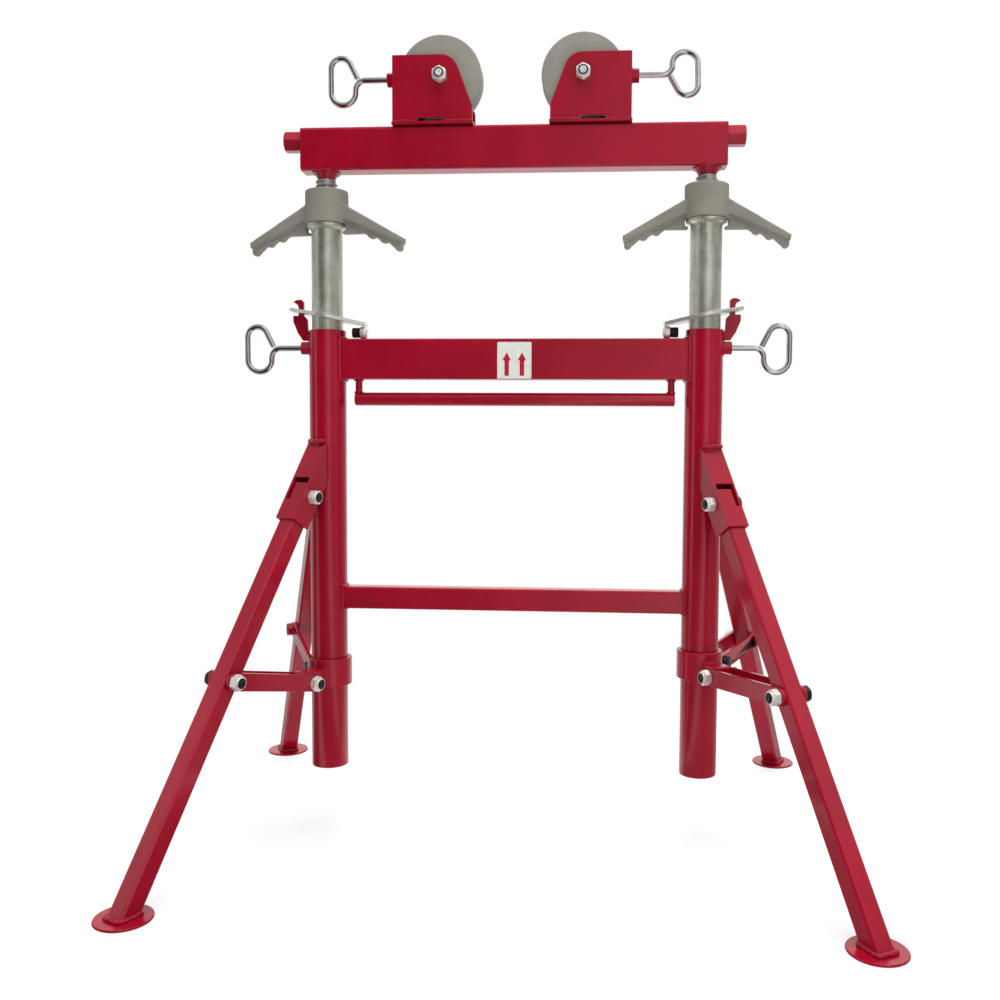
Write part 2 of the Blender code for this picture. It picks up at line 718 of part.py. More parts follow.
def make_leg_bracket(side_name, face_name):
    name = f"leg_bracket_{side_name}_{face_name}"
    inner = LEG_WIDTH / 2 + FIT
    outer = inner + BRACKET_WALL
    bracket = box(name, (-BRACKET_BACK, -outer, -BRACKET_BELOW), (outer, outer, BRACKET_ABOVE))
    channel_low = (-BRACKET_BACK - OVERRUN, -inner, -BRACKET_BELOW - OVERRUN)
    channel_high = (inner, inner, BRACKET_ABOVE + OVERRUN)
    cut(bracket, box(f"{name}_channel", channel_low, channel_high))
    window_low = (0, -inner, -WINDOW_BELOW)
    window_high = (outer + OVERRUN, inner, WINDOW_ABOVE)
    cut(bracket, box(f"{name}_window", window_low, window_high))
    bolt_hole = rod(f"{name}_hole", BOLT_OD / 2 + FIT, (0, -outer - OVERRUN, 0), (0, outer + OVERRUN, 0), BOLT_FACETS)
    cut(bracket, bolt_hole)
    frame = leg_frame(side_name, face_name)
    axis_foot = Vector((column_x(side_name), 0, COLUMN_BOTTOM))
    axis_head = Vector((column_x(side_name), 0, COLUMN_TOP))
    inverse = frame.inverted()
    post = rod(f"{name}_cope", COLUMN_RADIUS + FIT, inverse @ axis_foot, inverse @ axis_head, TUBE_FACETS)
    cut(bracket, post)
    level = shift(x=column_x(side_name), z=leg_pivot_height(side_name) + BRACKET_TOP_RISE)
    level = inverse @ level @ turn(leg_heading(side_name, face_name), "Z")
    above_high = (PIVOT_RADIUS, outer + OVERRUN, BRACKET_ABOVE)
    cut(bracket, box(f"{name}_level_top", (0, -outer - OVERRUN, 0), above_high, level))
    return finish(bracket, "red_paint", frame)


def lock_nut(name, start, sign):
    """A lock nut along Y: six-sided body and round crown."""
    middle = start + sign * LOCK_NUT_HEX
    end = middle + sign * LOCK_NUT_CROWN
    nut = rod(name, hex_radius(BOLT_ACROSS_FLATS), (0, start, 0), (0, middle, 0), HEX)
    crown = rod(f"{name}_crown", LOCK_NUT_CROWN_OD / 2, (0, middle - sign * EMBED, 0), (0, end, 0), BOLT_FACETS)
    return weld(nut, crown)


def make_cross_bolt(name, half_grip, inward, frame):
    """A bolt along Y through a joint, with its head outside and a lock nut inside."""
    head_start = -inward * (half_grip + FIT)
    head_end = head_start - inward * BOLT_HEAD
    nut_start = inward * (half_grip + FIT)
    shank_start = head_start - inward * BOLT_HEAD / 2
    shank_end = nut_start + inward * (LOCK_NUT_HEX + LOCK_NUT_CROWN + BOLT_PROUD)
    bolt = rod(name, BOLT_OD / 2, (0, shank_start, 0), (0, shank_end, 0), BOLT_FACETS)
    weld(bolt, rod(f"{name}_head", hex_radius(BOLT_ACROSS_FLATS), (0, head_start, 0), (0, head_end, 0), HEX))
    weld(bolt, lock_nut(f"{name}_nut", nut_start, inward))
    return finish(bolt, "bright_steel", frame)


def make_leg(side_name, face_name):
    name = f"leg_{side_name}_{face_name}"
    spread = LEG_SPREAD[side_name]
    half = LEG_WIDTH / 2
    inner = half - LEG_WALL
    below = LEG_LENGTH + LEG_WIDTH
    leg = box(name, (-half, -half, -below), (half, half, LEG_TOP))
    round_edges(leg, LEG_CORNER, 1, long_axis=2)
    cut(leg, box(f"{name}_hollow", (-inner, -inner, -below - OVERRUN), (inner, inner, LEG_TOP + OVERRUN)))
    sole = shift(z=-LEG_LENGTH) @ turn(spread, "Y")
    ground_low = (-2 * LEG_WIDTH, -2 * LEG_WIDTH, -3 * LEG_WIDTH)
    ground_high = (2 * LEG_WIDTH, 2 * LEG_WIDTH, -EMBED)
    cut(leg, box(f"{name}_ground", ground_low, ground_high, sole))
    foot_profile = [
        (0, 0),
        (FOOT_RADIUS - FOOT_EDGE, 0),
        (FOOT_RADIUS, -FOOT_EDGE),
        (FOOT_RADIUS, FOOT_EDGE - FOOT_THICK),
        (FOOT_RADIUS - FOOT_EDGE, -FOOT_THICK),
        (0, -FOOT_THICK),
    ]
    weld(leg, turned(f"{name}_foot", foot_profile, TUBE_FACETS, sole))
    hole = rod(f"{name}_hole", BOLT_OD / 2 + FIT, (0, -half - OVERRUN, 0), (0, half + OVERRUN, 0), BOLT_FACETS)
    cut(leg, hole)
    return finish(leg, "red_paint", leg_frame(side_name, face_name))


def make_collar(side_name):
    name = f"collar_{side_name}"
    outer = COLLAR_OD / 2
    inner = COLLAR_ID / 2
    profile = [
        (outer - COLLAR_EDGE, COLLAR_ABOVE),
        (outer, COLLAR_ABOVE - COLLAR_EDGE),
        (outer, COLLAR_EDGE - COLLAR_BELOW),
        (outer - COLLAR_EDGE, -COLLAR_BELOW),
        (inner, -COLLAR_BELOW),
        (inner, COLLAR_ABOVE),
    ]
    collar = turned(name, profile, TUBE_FACETS)
    half = LEG_WIDTH / 2
    for face_name in FACES:
        heading = turn(leg_heading(side_name, face_name), "Z")
        lug = box(
            f"{name}_lug_{face_name}",
            (LUG_START, -half, EMBED - COLLAR_BELOW),
            (LUG_END, half, LUG_ABOVE),
            heading,
        )
        weld(collar, round_edges(lug, LUG_EDGE))
        ends = [heading @ Vector((PIVOT_RADIUS, sign * (half + OVERRUN), 0)) for sign in (-1, 1)]
        cut(collar, rod(f"{name}_hole_{face_name}", BOLT_OD / 2 + FIT, *ends, BOLT_FACETS))
    height = collar_height(side_name, LEG_SPREAD[side_name])
    return finish(collar, "red_paint", shift(x=column_x(side_name), z=height))


def link_outline():
    radius = LINK_HEIGHT / 2
    near = arc((0, 0), radius, math.radians(90), math.radians(270), LINK_ARC_STEPS)
    far = arc((LINK_LENGTH, 0), radius, math.radians(-90), math.radians(90), LINK_ARC_STEPS)
    return near + far


def link_inner_face():
    return LEG_WIDTH / 2 + FIT


def link_outer_face():
    return link_inner_face() + LINK_THICK


def make_link_bar(side_name, face_name, place):
    """One flat bar of a link pair. The outer bar carries the head of the bolt at the leg."""
    name = f"link_bar_{side_name}_{face_name}_{place}"
    sign = inward_sign(side_name, face_name) * (1 if place == "inner" else -1)
    middle = sign * (link_inner_face() + link_outer_face()) / 2
    hole_radius = BOLT_OD / 2 + FIT
    holes = [arc((0, 0), hole_radius, 0, math.tau, BOLT_FACETS)[:-1]]
    if place == "inner":
        holes.append(arc((LINK_LENGTH, 0), hole_radius, 0, math.tau, BOLT_FACETS)[:-1])
    bar = plate(name, [link_outline(), *holes], LINK_THICK)
    bar.data.transform(shift(y=middle))
    if place == "outer":
        start = (LINK_LENGTH, sign * (link_outer_face() - EMBED), 0)
        end = (LINK_LENGTH, sign * (link_outer_face() + BOLT_HEAD), 0)
        weld(bar, rod(f"{name}_head", hex_radius(BOLT_ACROSS_FLATS), start, end, HEX))
    return finish(bar, "red_paint", link_frame(side_name, face_name))


def make_link_nut(side_name, face_name):
    """Lock nut and bolt end at the leg, held by the inner link bar."""
    name = f"link_nut_{side_name}_{face_name}"
    inward = inward_sign(side_name, face_name)
    nut_start = inward * (link_outer_face() + FIT)
    shank_start = inward * (link_inner_face() + FIT)
    shank_end = nut_start + inward * (LOCK_NUT_HEX + LOCK_NUT_CROWN + BOLT_PROUD)
    nut = rod(name, BOLT_OD / 2, (0, shank_start, 0), (0, shank_end, 0), BOLT_FACETS)
    weld(nut, lock_nut(f"{name}_body", nut_start, inward))
    return finish(nut, "bright_steel", link_frame(side_name, face_name) @ shift(x=LINK_LENGTH))


def make_inner_tube(side_name):
    rise = mast_rise(side_name)
    ring = THRUST_RING_OD / 2
    bore = INNER_RADIUS - INNER_WALL
    lip = THRUST_RING_TOP - THRUST_RING_LIP
    foot = THRUST_RING_TOP - THRUST_RING_HEIGHT
    across, down = THRUST_RING_SHARES
    profile = [
        (ring, THRUST_RING_TOP),
        (ring, lip),
        (INNER_RADIUS + across * (ring - INNER_RADIUS), lip + down * (foot - lip)),
        (INNER_RADIUS, foot),
        (INNER_RADIUS, INNER_BOTTOM - rise),
        (bore, INNER_BOTTOM - rise),
        (bore, THRUST_RING_TOP),
    ]
    tube = turned(f"inner_tube_{side_name}", profile, TUBE_FACETS)
    return finish(tube, "zinc", column_frame(side_name, rise))


def jack_nut_height(side_name):
    """Height of the jack nut's lower rim, which turns on the thrust ring."""
    return THRUST_RING_TOP + FIT + mast_rise(side_name)


def make_jack_screw(side_name):
    radius = JACK_SCREW_OD / 2
    spigot = JACK_SPIGOT_OD / 2
    shoulder = BEAM_BOTTOM - BOSS_HEIGHT - FIT
    profile = [
        (0, BEAM_BOTTOM + BEAM_WALL),
        (spigot, BEAM_BOTTOM + BEAM_WALL),
        (spigot, shoulder),
        (radius, shoulder),
        (radius, BEAM_BOTTOM - JACK_SCREW_LENGTH),
        (0, BEAM_BOTTOM - JACK_SCREW_LENGTH),
    ]
    screw = turned(f"jack_screw_{side_name}", profile, SCREW_FACETS)
    return finish(screw, "zinc", column_frame(side_name))


def rib_outline():
    """The rib under a jack nut's arm, relieved round the thrust ring, with finger lobes below."""
    start = THRUST_RING_OD / 2 + RIB_RING_GAP
    near_tube = INNER_RADIUS + RIB_TUBE_GAP
    step = -(THRUST_RING_HEIGHT + FIT + EMBED)
    outline = [(start, FLANGE_ROOT_BOTTOM + EMBED), (start, step), (near_tube, step)]
    outline += [(near_tube, -RIB_FLAT_DROP), (RIB_FLAT_END, -RIB_FLAT_DROP)]
    for lobe in LOBES:
        centre = (lobe["reach"], -lobe["drop"])
        last = math.tau if lobe is LOBES[-1] else LOBE_TO
        outline += arc(centre, lobe["radius"], LOBE_FROM, last, LOBE_ARC_STEPS)
    outline.append((RIB_END, FLANGE_TIP_BOTTOM + EMBED))
    return outline


def make_jack_nut(side_name):
    name = f"jack_nut_{side_name}"
    outer = HUB_OD / 2
    bore = JACK_SCREW_OD / 2 + FIT
    profile = [
        (outer - HUB_EDGE, HUB_HEIGHT),
        (outer, HUB_HEIGHT - HUB_EDGE),
        (outer, 0),
        (bore, 0),
        (bore, HUB_HEIGHT),
    ]
    nut = turned(name, profile, TUBE_FACETS)
    flange = [
        (ARM_ROOT, FLANGE_ROOT_BOTTOM),
        (FLANGE_TIP_REACH, FLANGE_TIP_BOTTOM),
        (ARM_REACH, FLANGE_TIP_TOP),
        (ARM_ROOT, FLANGE_ROOT_TOP),
    ]
    taper = (FLANGE_TIP_WIDTH - FLANGE_ROOT_WIDTH) / (ARM_REACH - ARM_ROOT)
    for arm, heading in enumerate((0.0, math.pi)):
        around = turn(heading, "Z")
        upper = plate(f"{name}_flange_{arm}", [flange], FLANGE_ROOT_WIDTH)
        for vertex in upper.data.vertices:
            width = FLANGE_ROOT_WIDTH + taper * (vertex.co.x - ARM_ROOT)
            vertex.co.y = math.copysign(width / 2, vertex.co.y)
        upper.matrix_world = around
        weld(nut, upper)
        weld(nut, plate(f"{name}_rib_{arm}", [rib_outline()], RIB_THICK, around))
    frame = shift(x=column_x(side_name), z=jack_nut_height(side_name)) @ turn(JACK_NUT_TURN[side_name], "Z")
    return finish(nut, "grey_cast", frame)


def bracket_x(side_name):
    return MIDDLE_X + BEAM_OFFSET + SIDES[side_name] * ROLLER_SPACING / 2


def make_roller_beam():
    name = "roller_beam"
    half = BEAM_LENGTH / 2
    deep = BEAM_DEPTH / 2
    beam = box(name, (-half, -deep, BEAM_BOTTOM), (half, deep, BEAM_TOP))
    round_edges(beam, BEAM_CORNER, 3, long_axis=0)
    hollow_half = half - BEAM_END_PLATE
    hollow_low = (-hollow_half, BEAM_WALL - deep, BEAM_BOTTOM + BEAM_WALL)
    hollow_high = (hollow_half, deep - BEAM_WALL, BEAM_TOP - BEAM_WALL)
    cut(beam, box(f"{name}_hollow", hollow_low, hollow_high))
    for side_name, side in SIDES.items():
        neck = ROLLER_SPACING / 2 + NECK_REACH
        inner = side * (neck - NECK_LENGTH / 2 - TRAVERSE_IN - SLOT_PLAY)
        outer = side * (neck + NECK_LENGTH / 2 + TRAVERSE_OUT + SLOT_PLAY)
        wide = NECK_WIDTH / 2 + SLOT_PLAY
        slot_low = (min(inner, outer), -wide, BEAM_TOP - BEAM_WALL - OVERRUN)
        slot_high = (max(inner, outer), wide, BEAM_TOP + OVERRUN)
        cut(beam, box(f"{name}_slot_{side_name}", slot_low, slot_high))
        hole_from = (side * (hollow_half - OVERRUN), 0, TRAVERSE_HEIGHT)
        hole_to = (side * (half + OVERRUN), 0, TRAVERSE_HEIGHT)
        cut(beam, rod(f"{name}_bearing_{side_name}", TRAVERSE_OD / 2 + FIT, hole_from, hole_to, SCREW_FACETS))
        x = column_x(side_name) - MIDDLE_X - BEAM_OFFSET
        seat = JACK_SPIGOT_OD / 2 + FIT
        boss_top = (x, 0, BEAM_BOTTOM + EMBED)
        boss_bottom = (x, 0, BEAM_BOTTOM - BOSS_HEIGHT)
        boss = rod(
            f"{name}_boss_{side_name}",
            BOSS_TOP_OD / 2,
            boss_top,
            boss_bottom,
            TUBE_FACETS,
            end_radius=seat + BOSS_BOTTOM_WALL,
        )
        weld(beam, boss)
        below = (x, 0, BEAM_BOTTOM - BOSS_HEIGHT - OVERRUN)
        above = (x, 0, BEAM_BOTTOM + BEAM_WALL + OVERRUN)
        cut(beam, rod(f"{name}_screw_seat_{side_name}", seat, below, above, SCREW_FACETS))
    return finish(beam, "red_paint", shift(x=MIDDLE_X + BEAM_OFFSET))


def make_traverse_screw():
    name = "traverse_screw"
    half = BEAM_LENGTH / 2 + FIT
    screw = rod(name, TRAVERSE_OD / 2, (-half - EMBED, 0, 0), (half + EMBED, 0, 0), SCREW_FACETS)
    for side_name, side in SIDES.items():
        start = (side * half, 0, 0)
        end = (side * (half + TRAVERSE_HEX_LENGTH), 0, 0)
        weld(screw, rod(f"{name}_hex_{side_name}", hex_radius(TRAVERSE_HEX), start, end, HEX))
    return finish(screw, "red_paint", shift(x=MIDDLE_X + BEAM_OFFSET, z=TRAVERSE_HEIGHT))


def cheek_outline(base_top):
    corner = arc(
        (-CHEEK_CORNER_START, CHEEK_TOP - CHEEK_CORNER_RADIUS),
        CHEEK_CORNER_RADIUS,
        math.radians(90),
        math.radians(90) + CHEEK_CORNER_TURN,
        CHEEK_ARC_STEPS,
    )
    foot = base_top - EMBED
    return [
        (BRACKET_OUTER - EMBED, foot),
        (BRACKET_OUTER - EMBED, CHEEK_TOP),
        *corner,
        (-BRACKET_INNER, -CHEEK_SLANT_BOTTOM),
        (-BRACKET_INNER, foot),
    ]


def make_roller_bracket(side_name):
    """A welded fork for one roller, with the neck and nut that ride on the traverse screw."""
    name = f"roller_bracket_{side_name}"
    base_bottom = BEAM_TOP + FIT - AXLE_HEIGHT
    base_top = base_bottom + BASE_THICK
    outer_half = FORK_INNER_HALF + CHEEK_THICK
    base_half = outer_half + BASE_SIDE_LIP
    base_low = (-BRACKET_INNER - BASE_LIP, -base_half, base_bottom)
    base_high = (BRACKET_OUTER + BASE_LIP, base_half, base_top)
    bracket = box(name, base_low, base_high)
    for face_name, face in FACES.items():
        cheek = plate(f"{name}_cheek_{face_name}", [cheek_outline(base_top)], CHEEK_THICK)
        cheek.data.transform(shift(y=face * (FORK_INNER_HALF + CHEEK_THICK / 2)))
        weld(bracket, cheek)
    web_low = (BRACKET_OUTER - CHEEK_THICK, -outer_half, base_top - EMBED)
    web_high = (BRACKET_OUTER, outer_half, CHEEK_TOP)
    weld(bracket, box(f"{name}_web", web_low, web_high))
    nut_end = BRACKET_OUTER + BRAKE_NUT_LENGTH
    weld(bracket, weld_nut(f"{name}_weld_nut", BRACKET_OUTER - EMBED, nut_end, BRAKE_RISE))
    screw_axis = TRAVERSE_HEIGHT - AXLE_HEIGHT
    half_carrier = CARRIER_SIZE / 2
    neck_low = (NECK_REACH - NECK_LENGTH / 2, -NECK_WIDTH / 2, screw_axis)
    neck_high = (NECK_REACH + NECK_LENGTH / 2, NECK_WIDTH / 2, base_bottom + EMBED)
    weld(bracket, box(f"{name}_neck", neck_low, neck_high))
    carrier_low = (NECK_REACH - CARRIER_LENGTH / 2, -half_carrier, screw_axis - half_carrier)
    carrier_high = (NECK_REACH + CARRIER_LENGTH / 2, half_carrier, screw_axis + half_carrier)
    weld(bracket, box(f"{name}_carrier", carrier_low, carrier_high))
    half_notch = NOTCH_LENGTH / 2
    half_notch_top = NOTCH_TOP_LENGTH / 2
    notch = [
        (NOTCH_REACH - half_notch, base_top),
        (NOTCH_REACH + half_notch, base_top),
        (NOTCH_REACH + half_notch_top, base_top + NOTCH_HEIGHT),
        (NOTCH_REACH - half_notch_top, base_top + NOTCH_HEIGHT),
    ]
    cut(bracket, plate(f"{name}_notch", [notch], 2 * (outer_half + OVERRUN)))
    brake_from = (BRACKET_OUTER - CHEEK_THICK - OVERRUN, 0, BRAKE_RISE)
    brake_to = (nut_end + OVERRUN, 0, BRAKE_RISE)
    cut(bracket, rod(f"{name}_brake_hole", WIRE_OD / 2 + FIT, brake_from, brake_to, BOLT_FACETS))
    axle_from = (0, -outer_half - OVERRUN, 0)
    axle_to = (0, outer_half + OVERRUN, 0)
    cut(bracket, rod(f"{name}_axle_hole", BOLT_OD / 2 + FIT, axle_from, axle_to, BOLT_FACETS))
    thread_from = (NECK_REACH - CARRIER_LENGTH / 2 - OVERRUN, 0, screw_axis)
    thread_to = (NECK_REACH + CARRIER_LENGTH / 2 + OVERRUN, 0, screw_axis)
    cut(bracket, rod(f"{name}_thread", TRAVERSE_OD / 2 + FIT, thread_from, thread_to, SCREW_FACETS))
    return finish(bracket, "red_paint", side_frame(side_name, bracket_x(side_name), AXLE_HEIGHT))


def make_roller(side_name):
    radius = ROLLER_OD / 2
    half = ROLLER_WIDTH / 2
    bore = BOLT_OD / 2 + FIT
    profile = [
        (radius - ROLLER_EDGE, half),
        (radius, half - ROLLER_EDGE),
        (radius, ROLLER_EDGE - half),
        (radius - ROLLER_EDGE, -half),
        (bore, -half),
        (bore, half),
    ]
    roller = turned(f"roller_{side_name}", profile, ROLLER_FACETS)
    return finish(roller, "grey_cast", shift(x=bracket_x(side_name), z=AXLE_HEIGHT) @ turn(math.radians(90), "X"))


def make_roller_axle(side_name):
    half_grip = FORK_INNER_HALF + CHEEK_THICK
    frame = shift(x=bracket_x(side_name), z=AXLE_HEIGHT)
    return make_cross_bolt(f"roller_axle_{side_name}", half_grip, FACES["front"], frame)


def wire_screw_path(tip, bend_start):
    """A straight shank from its tip, then a loop handle in the XZ plane."""
    near_side = bend_start + WIRE_BEND_RADIUS
    path = [(tip, 0)]
    path += reversed(arc((bend_start, -WIRE_BEND_RADIUS), WIRE_BEND_RADIUS, 0, math.radians(90), BEND_ARC_STEPS))
    lower = (near_side + LOOP_LOWER_RADIUS, -LOOP_LOWER_DROP)
    path += arc(lower, LOOP_LOWER_RADIUS, math.radians(180), math.radians(360), LOOP_ARC_STEPS)
    upper = (near_side + 2 * LOOP_LOWER_RADIUS - LOOP_UPPER_RADIUS, LOOP_UPPER_RISE)
    path += arc(upper, LOOP_UPPER_RADIUS, 0, math.pi - LOOP_TAIL_LEAN, LOOP_ARC_STEPS)
    across, up = path[-1]
    path.append((across - LOOP_TAIL_LENGTH * math.sin(LOOP_TAIL_LEAN), up - LOOP_TAIL_LENGTH * math.cos(LOOP_TAIL_LEAN)))
    return [(across, 0.0, up) for across, up in path]


def make_lock_screw(side_name):
    screw = wire(f"lock_screw_{side_name}", wire_screw_path(INNER_RADIUS + FIT, LOCK_BEND_START))
    return finish(screw, "chrome", column_frame(side_name, LOCK_HEIGHT))


def make_brake_screw(side_name):
    screw = wire(f"brake_screw_{side_name}", wire_screw_path(ROLLER_OD / 2 + FIT, BRAKE_BEND_START))
    frame = side_frame(side_name, bracket_x(side_name), AXLE_HEIGHT + BRAKE_RISE)
    return finish(screw, "chrome", frame @ turn(BRAKE_LOOP_TURN[side_name], "X"))


def make_leg_set(side_name, face_name):
    """One leg with its bracket, pivot bolt and link pair."""
    inward = inward_sign(side_name, face_name)
    make_leg_bracket(side_name, face_name)
    make_leg(side_name, face_name)
    bolt_grip = LEG_WIDTH / 2 + FIT + BRACKET_WALL
    make_cross_bolt(f"leg_bolt_{side_name}_{face_name}", bolt_grip, inward, leg_frame(side_name, face_name))
    for place in ("inner", "outer"):
        make_link_bar(side_name, face_name, place)
    make_link_nut(side_name, face_name)
    collar_bolt_frame = link_frame(side_name, face_name)
    make_cross_bolt(f"collar_bolt_{side_name}_{face_name}", link_outer_face(), inward, collar_bolt_frame)


def make_side(side_name):
    """Everything that belongs to one column."""
    make_column(side_name)
    make_hook_plate(side_name)
    make_grip_plate(side_name)
    make_stop_bolt(side_name)
    make_lock_screw(side_name)
    make_inner_tube(side_name)
    make_jack_screw(side_name)
    make_jack_nut(side_name)
    make_collar(side_name)
    for face_name in FACES:
        make_leg_set(side_name, face_name)


def make_carriage(side_name):
    """One roller with its bracket, axle and brake screw."""
    make_roller_bracket(side_name)
    make_roller(side_name)
    make_roller_axle(side_name)
    make_brake_screw(side_name)


make_crossbar("upper_crossbar", UPPER_BAR_BOTTOM, UPPER_BAR_TOP, UPPER_BAR_DEPTH)
make_crossbar("lower_crossbar", lower_bar_bottom(), lower_bar_bottom() + LOWER_BAR_HEIGHT, LOWER_BAR_DEPTH)
make_carry_handle()
make_roller_beam()
make_traverse_screw()
for each_side in SIDES:
    make_side(each_side)
    make_carriage(each_side)
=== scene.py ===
import json
import math
import random

import bmesh
import bpy
from mathutils import Matrix, Vector, noise


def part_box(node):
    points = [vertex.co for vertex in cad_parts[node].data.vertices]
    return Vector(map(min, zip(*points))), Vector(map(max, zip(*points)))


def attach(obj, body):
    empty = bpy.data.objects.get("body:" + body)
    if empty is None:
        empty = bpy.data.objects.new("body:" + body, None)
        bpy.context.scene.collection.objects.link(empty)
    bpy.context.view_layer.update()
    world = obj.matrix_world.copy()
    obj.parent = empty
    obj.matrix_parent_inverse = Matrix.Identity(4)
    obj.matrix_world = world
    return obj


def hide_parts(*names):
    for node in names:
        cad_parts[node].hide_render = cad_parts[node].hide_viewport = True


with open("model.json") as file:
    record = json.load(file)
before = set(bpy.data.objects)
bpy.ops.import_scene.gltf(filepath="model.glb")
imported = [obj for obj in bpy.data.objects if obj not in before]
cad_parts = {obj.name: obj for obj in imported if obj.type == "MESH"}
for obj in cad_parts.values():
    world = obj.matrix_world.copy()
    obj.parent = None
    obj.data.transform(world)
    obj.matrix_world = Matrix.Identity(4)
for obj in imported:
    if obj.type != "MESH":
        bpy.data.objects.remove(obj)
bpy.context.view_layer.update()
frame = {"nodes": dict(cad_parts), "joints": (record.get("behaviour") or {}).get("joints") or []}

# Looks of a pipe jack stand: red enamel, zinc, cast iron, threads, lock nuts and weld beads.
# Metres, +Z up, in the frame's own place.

MM = 0.001
SIDES = {"left": -1, "right": 1}
FACES = {"front": -1, "rear": 1}
UP = Vector((0, 0, 1))
QUARTER_TURN = math.radians(90)

# Facets around a full turn
TUBE_FACETS = 96
ROLLER_FACETS = 144
NUT_FACETS = 48
WIRE_FACETS = 28
THREAD_FACETS = 28
BEAD_FACETS = 12
NUT_RING_POINTS = 36
BOSS_RING_POINTS = 48
DROP_RING_POINTS = 24

# Edge rounding of folded, sawn and cast metal
SHARP_ANGLE = math.radians(35)
FLAT_ANGLE = math.radians(0.6)
EDGE_ANGLE = math.radians(24)
JOIN_GAP = 0.01 * MM
EDGE_SEGMENTS = 2
SHADING_WEIGHT = 80
CORNER_LIMIT = 0.45
SAWN_EDGE = 0.7 * MM
PRESSED_EDGE = 0.6 * MM
FINE_EDGE = 0.4 * MM
TURNED_CENTRE = 0.5 * MM
BOLT_CENTRE = 0.4 * MM

# Columns, tubes and screws
COLUMN_WALL = 3.5 * MM
COLUMN_EDGE = 1.0 * MM
RING_LIP = 4.5 * MM
RING_HEIGHT = 8.2 * MM
RING_EDGE = 0.9 * MM
RING_TOP_EASE = 0.5 * MM
RING_KNEE_REACH = 0.35
RING_KNEE_DROP = 0.45
INNER_OD = 42.0 * MM
SPIGOT_OD = 20.0 * MM
SPIGOT_LENGTH = 12.8 * MM
SCREW_EDGE = 0.8 * MM
THREAD_PITCH = 6.0 * MM
THREAD_DEPTH = 2.4 * MM
THREAD_SUNK = 0.4 * MM
THREAD_EASE = 0.3 * MM
THREAD_ROOT_SHARE = 0.40
THREAD_CREST_SHARE = 0.13
FIT = 0.3 * MM
WELD_NUT_FLATS = 17.0 * MM
WELD_NUT_SUNK = 1.2 * MM
WELD_NUT_BEAD_REACH = WELD_NUT_FLATS * 0.55

# Lock screws and brake screws, bent from one wire
WIRE_OD = 7.8 * MM
WIRE_END = 0.7 * MM
WIRE_BEND_RADIUS = 13.0 * MM
LOOP_LOWER_RADIUS = 16.75 * MM
LOOP_UPPER_RADIUS = 14.0 * MM
LOOP_LOWER_DROP = 15.5 * MM
LOOP_UPPER_RISE = 15.4 * MM
LOOP_TAIL_LENGTH = 22.0 * MM
LOOP_TAIL_LEAN = math.radians(26.5)
WIRE_STEPS = {"shank": 20, "bend": 14, "lower": 30, "upper": 26, "tail": 6}
BRAKE_LOOP_TURN = {"left": 0.0, "right": math.radians(168)}
LOCK_HEIGHT = 662.5 * MM
LOCK_BEND_START = 65.5 * MM
BRAKE_BEND_START = 104.2 * MM

# Bolts and lock nuts
BOLT_OD = 12.0 * MM
BOLT_FLATS = 18.0 * MM
BOLT_HEAD = 7.5 * MM
BOLT_PROUD = 1.5 * MM
BOLT_END_RADIUS = BOLT_OD / 2 - 1.4 * MM
BOLT_END_CHAMFER = 1.2 * MM
BOLT_END_DISH = 0.5 * MM
BOLT_END_DISH_EDGE = 1.6 * MM
LOCK_NUT_HEX = 9.0 * MM
LOCK_NUT_CROWN = 3.0 * MM
CROWN_OD = 16.0 * MM
CROWN_OPENING = 13.2 * MM
CROWN_EDGE = 1.0 * MM
CROWN_EASE = 0.7 * MM
NYLON_BELOW_CROWN = 0.7 * MM
NYLON_THICK = 1.2 * MM
NYLON_BORE_RADIUS = BOLT_OD / 2 - 1.8 * MM
HEX_CORNER = 1.14
HEX_FACE = 0.96
HEX_CHAMFER_START = 0.97
HEX_CHAMFER_ANGLE = math.radians(30)
STOP_NUT_FLATS = 13.0 * MM
STOP_HEAD_LENGTH = 10.0 * MM
STOP_HEAD_EDGE = 0.8 * MM
STOP_DOME = ((0.55, 0.4 * MM), (0.86, 1.6 * MM), (1.0, 3.6 * MM))

# Legs, brackets, collars and links
LEG_WIDTH = 25.4 * MM
BRACKET_WALL = 3.0 * MM
BRACKET_BACK = 15.3 * MM
BRACKET_TOP_RISE = 73.0 * MM
FOOT_THICK = 3.0 * MM
SOLE_SKIN = 0.1 * MM
COLLAR_OD = 61.5 * MM
LUG_ABOVE = 14.0 * MM
LINK_THICK = 5.0 * MM

# Jack nuts
HUB_HEIGHT = 44.7 * MM
HUB_RADIUS = 29.0 * MM
ARM_REACH = 110.5 * MM
ARM_ROOT = 20.0 * MM
FLANGE_ROOT_TOP = 29.6 * MM
FLANGE_ROOT_BOTTOM = 8.9 * MM
FLANGE_TIP_TOP = -21.9 * MM
FLANGE_TIP_BOTTOM = -28.9 * MM
FLANGE_TIP_REACH = 109.5 * MM
FLANGE_ROOT_WIDTH = 24.0 * MM
FLANGE_TIP_WIDTH = 18.0 * MM
RIB_THICK = 10.0 * MM
RIB_SUNK = 1.0 * MM
RIB_START = 28.5 * MM
RIB_STEP_DROP = 9.5 * MM
RIB_NEAR_TUBE = 24.0 * MM
RIB_FLAT_DROP = 13.6 * MM
RIB_FLAT_END = 54.6 * MM
RIB_END = 108.5 * MM
LOBES = (
    (65.8 * MM, 14.5 * MM, 6.5 * MM),
    (83.0 * MM, 21.6 * MM, 6.0 * MM),
    (103.9 * MM, 34.4 * MM, 4.6 * MM),
)
LOBE_START = math.radians(200)
LOBE_END = math.radians(320)
LOBE_STEPS = 12
CAST_VOXEL = 1.15 * MM
CAST_SMOOTHING = 7
CAST_SMOOTHING_SHARE = 0.5
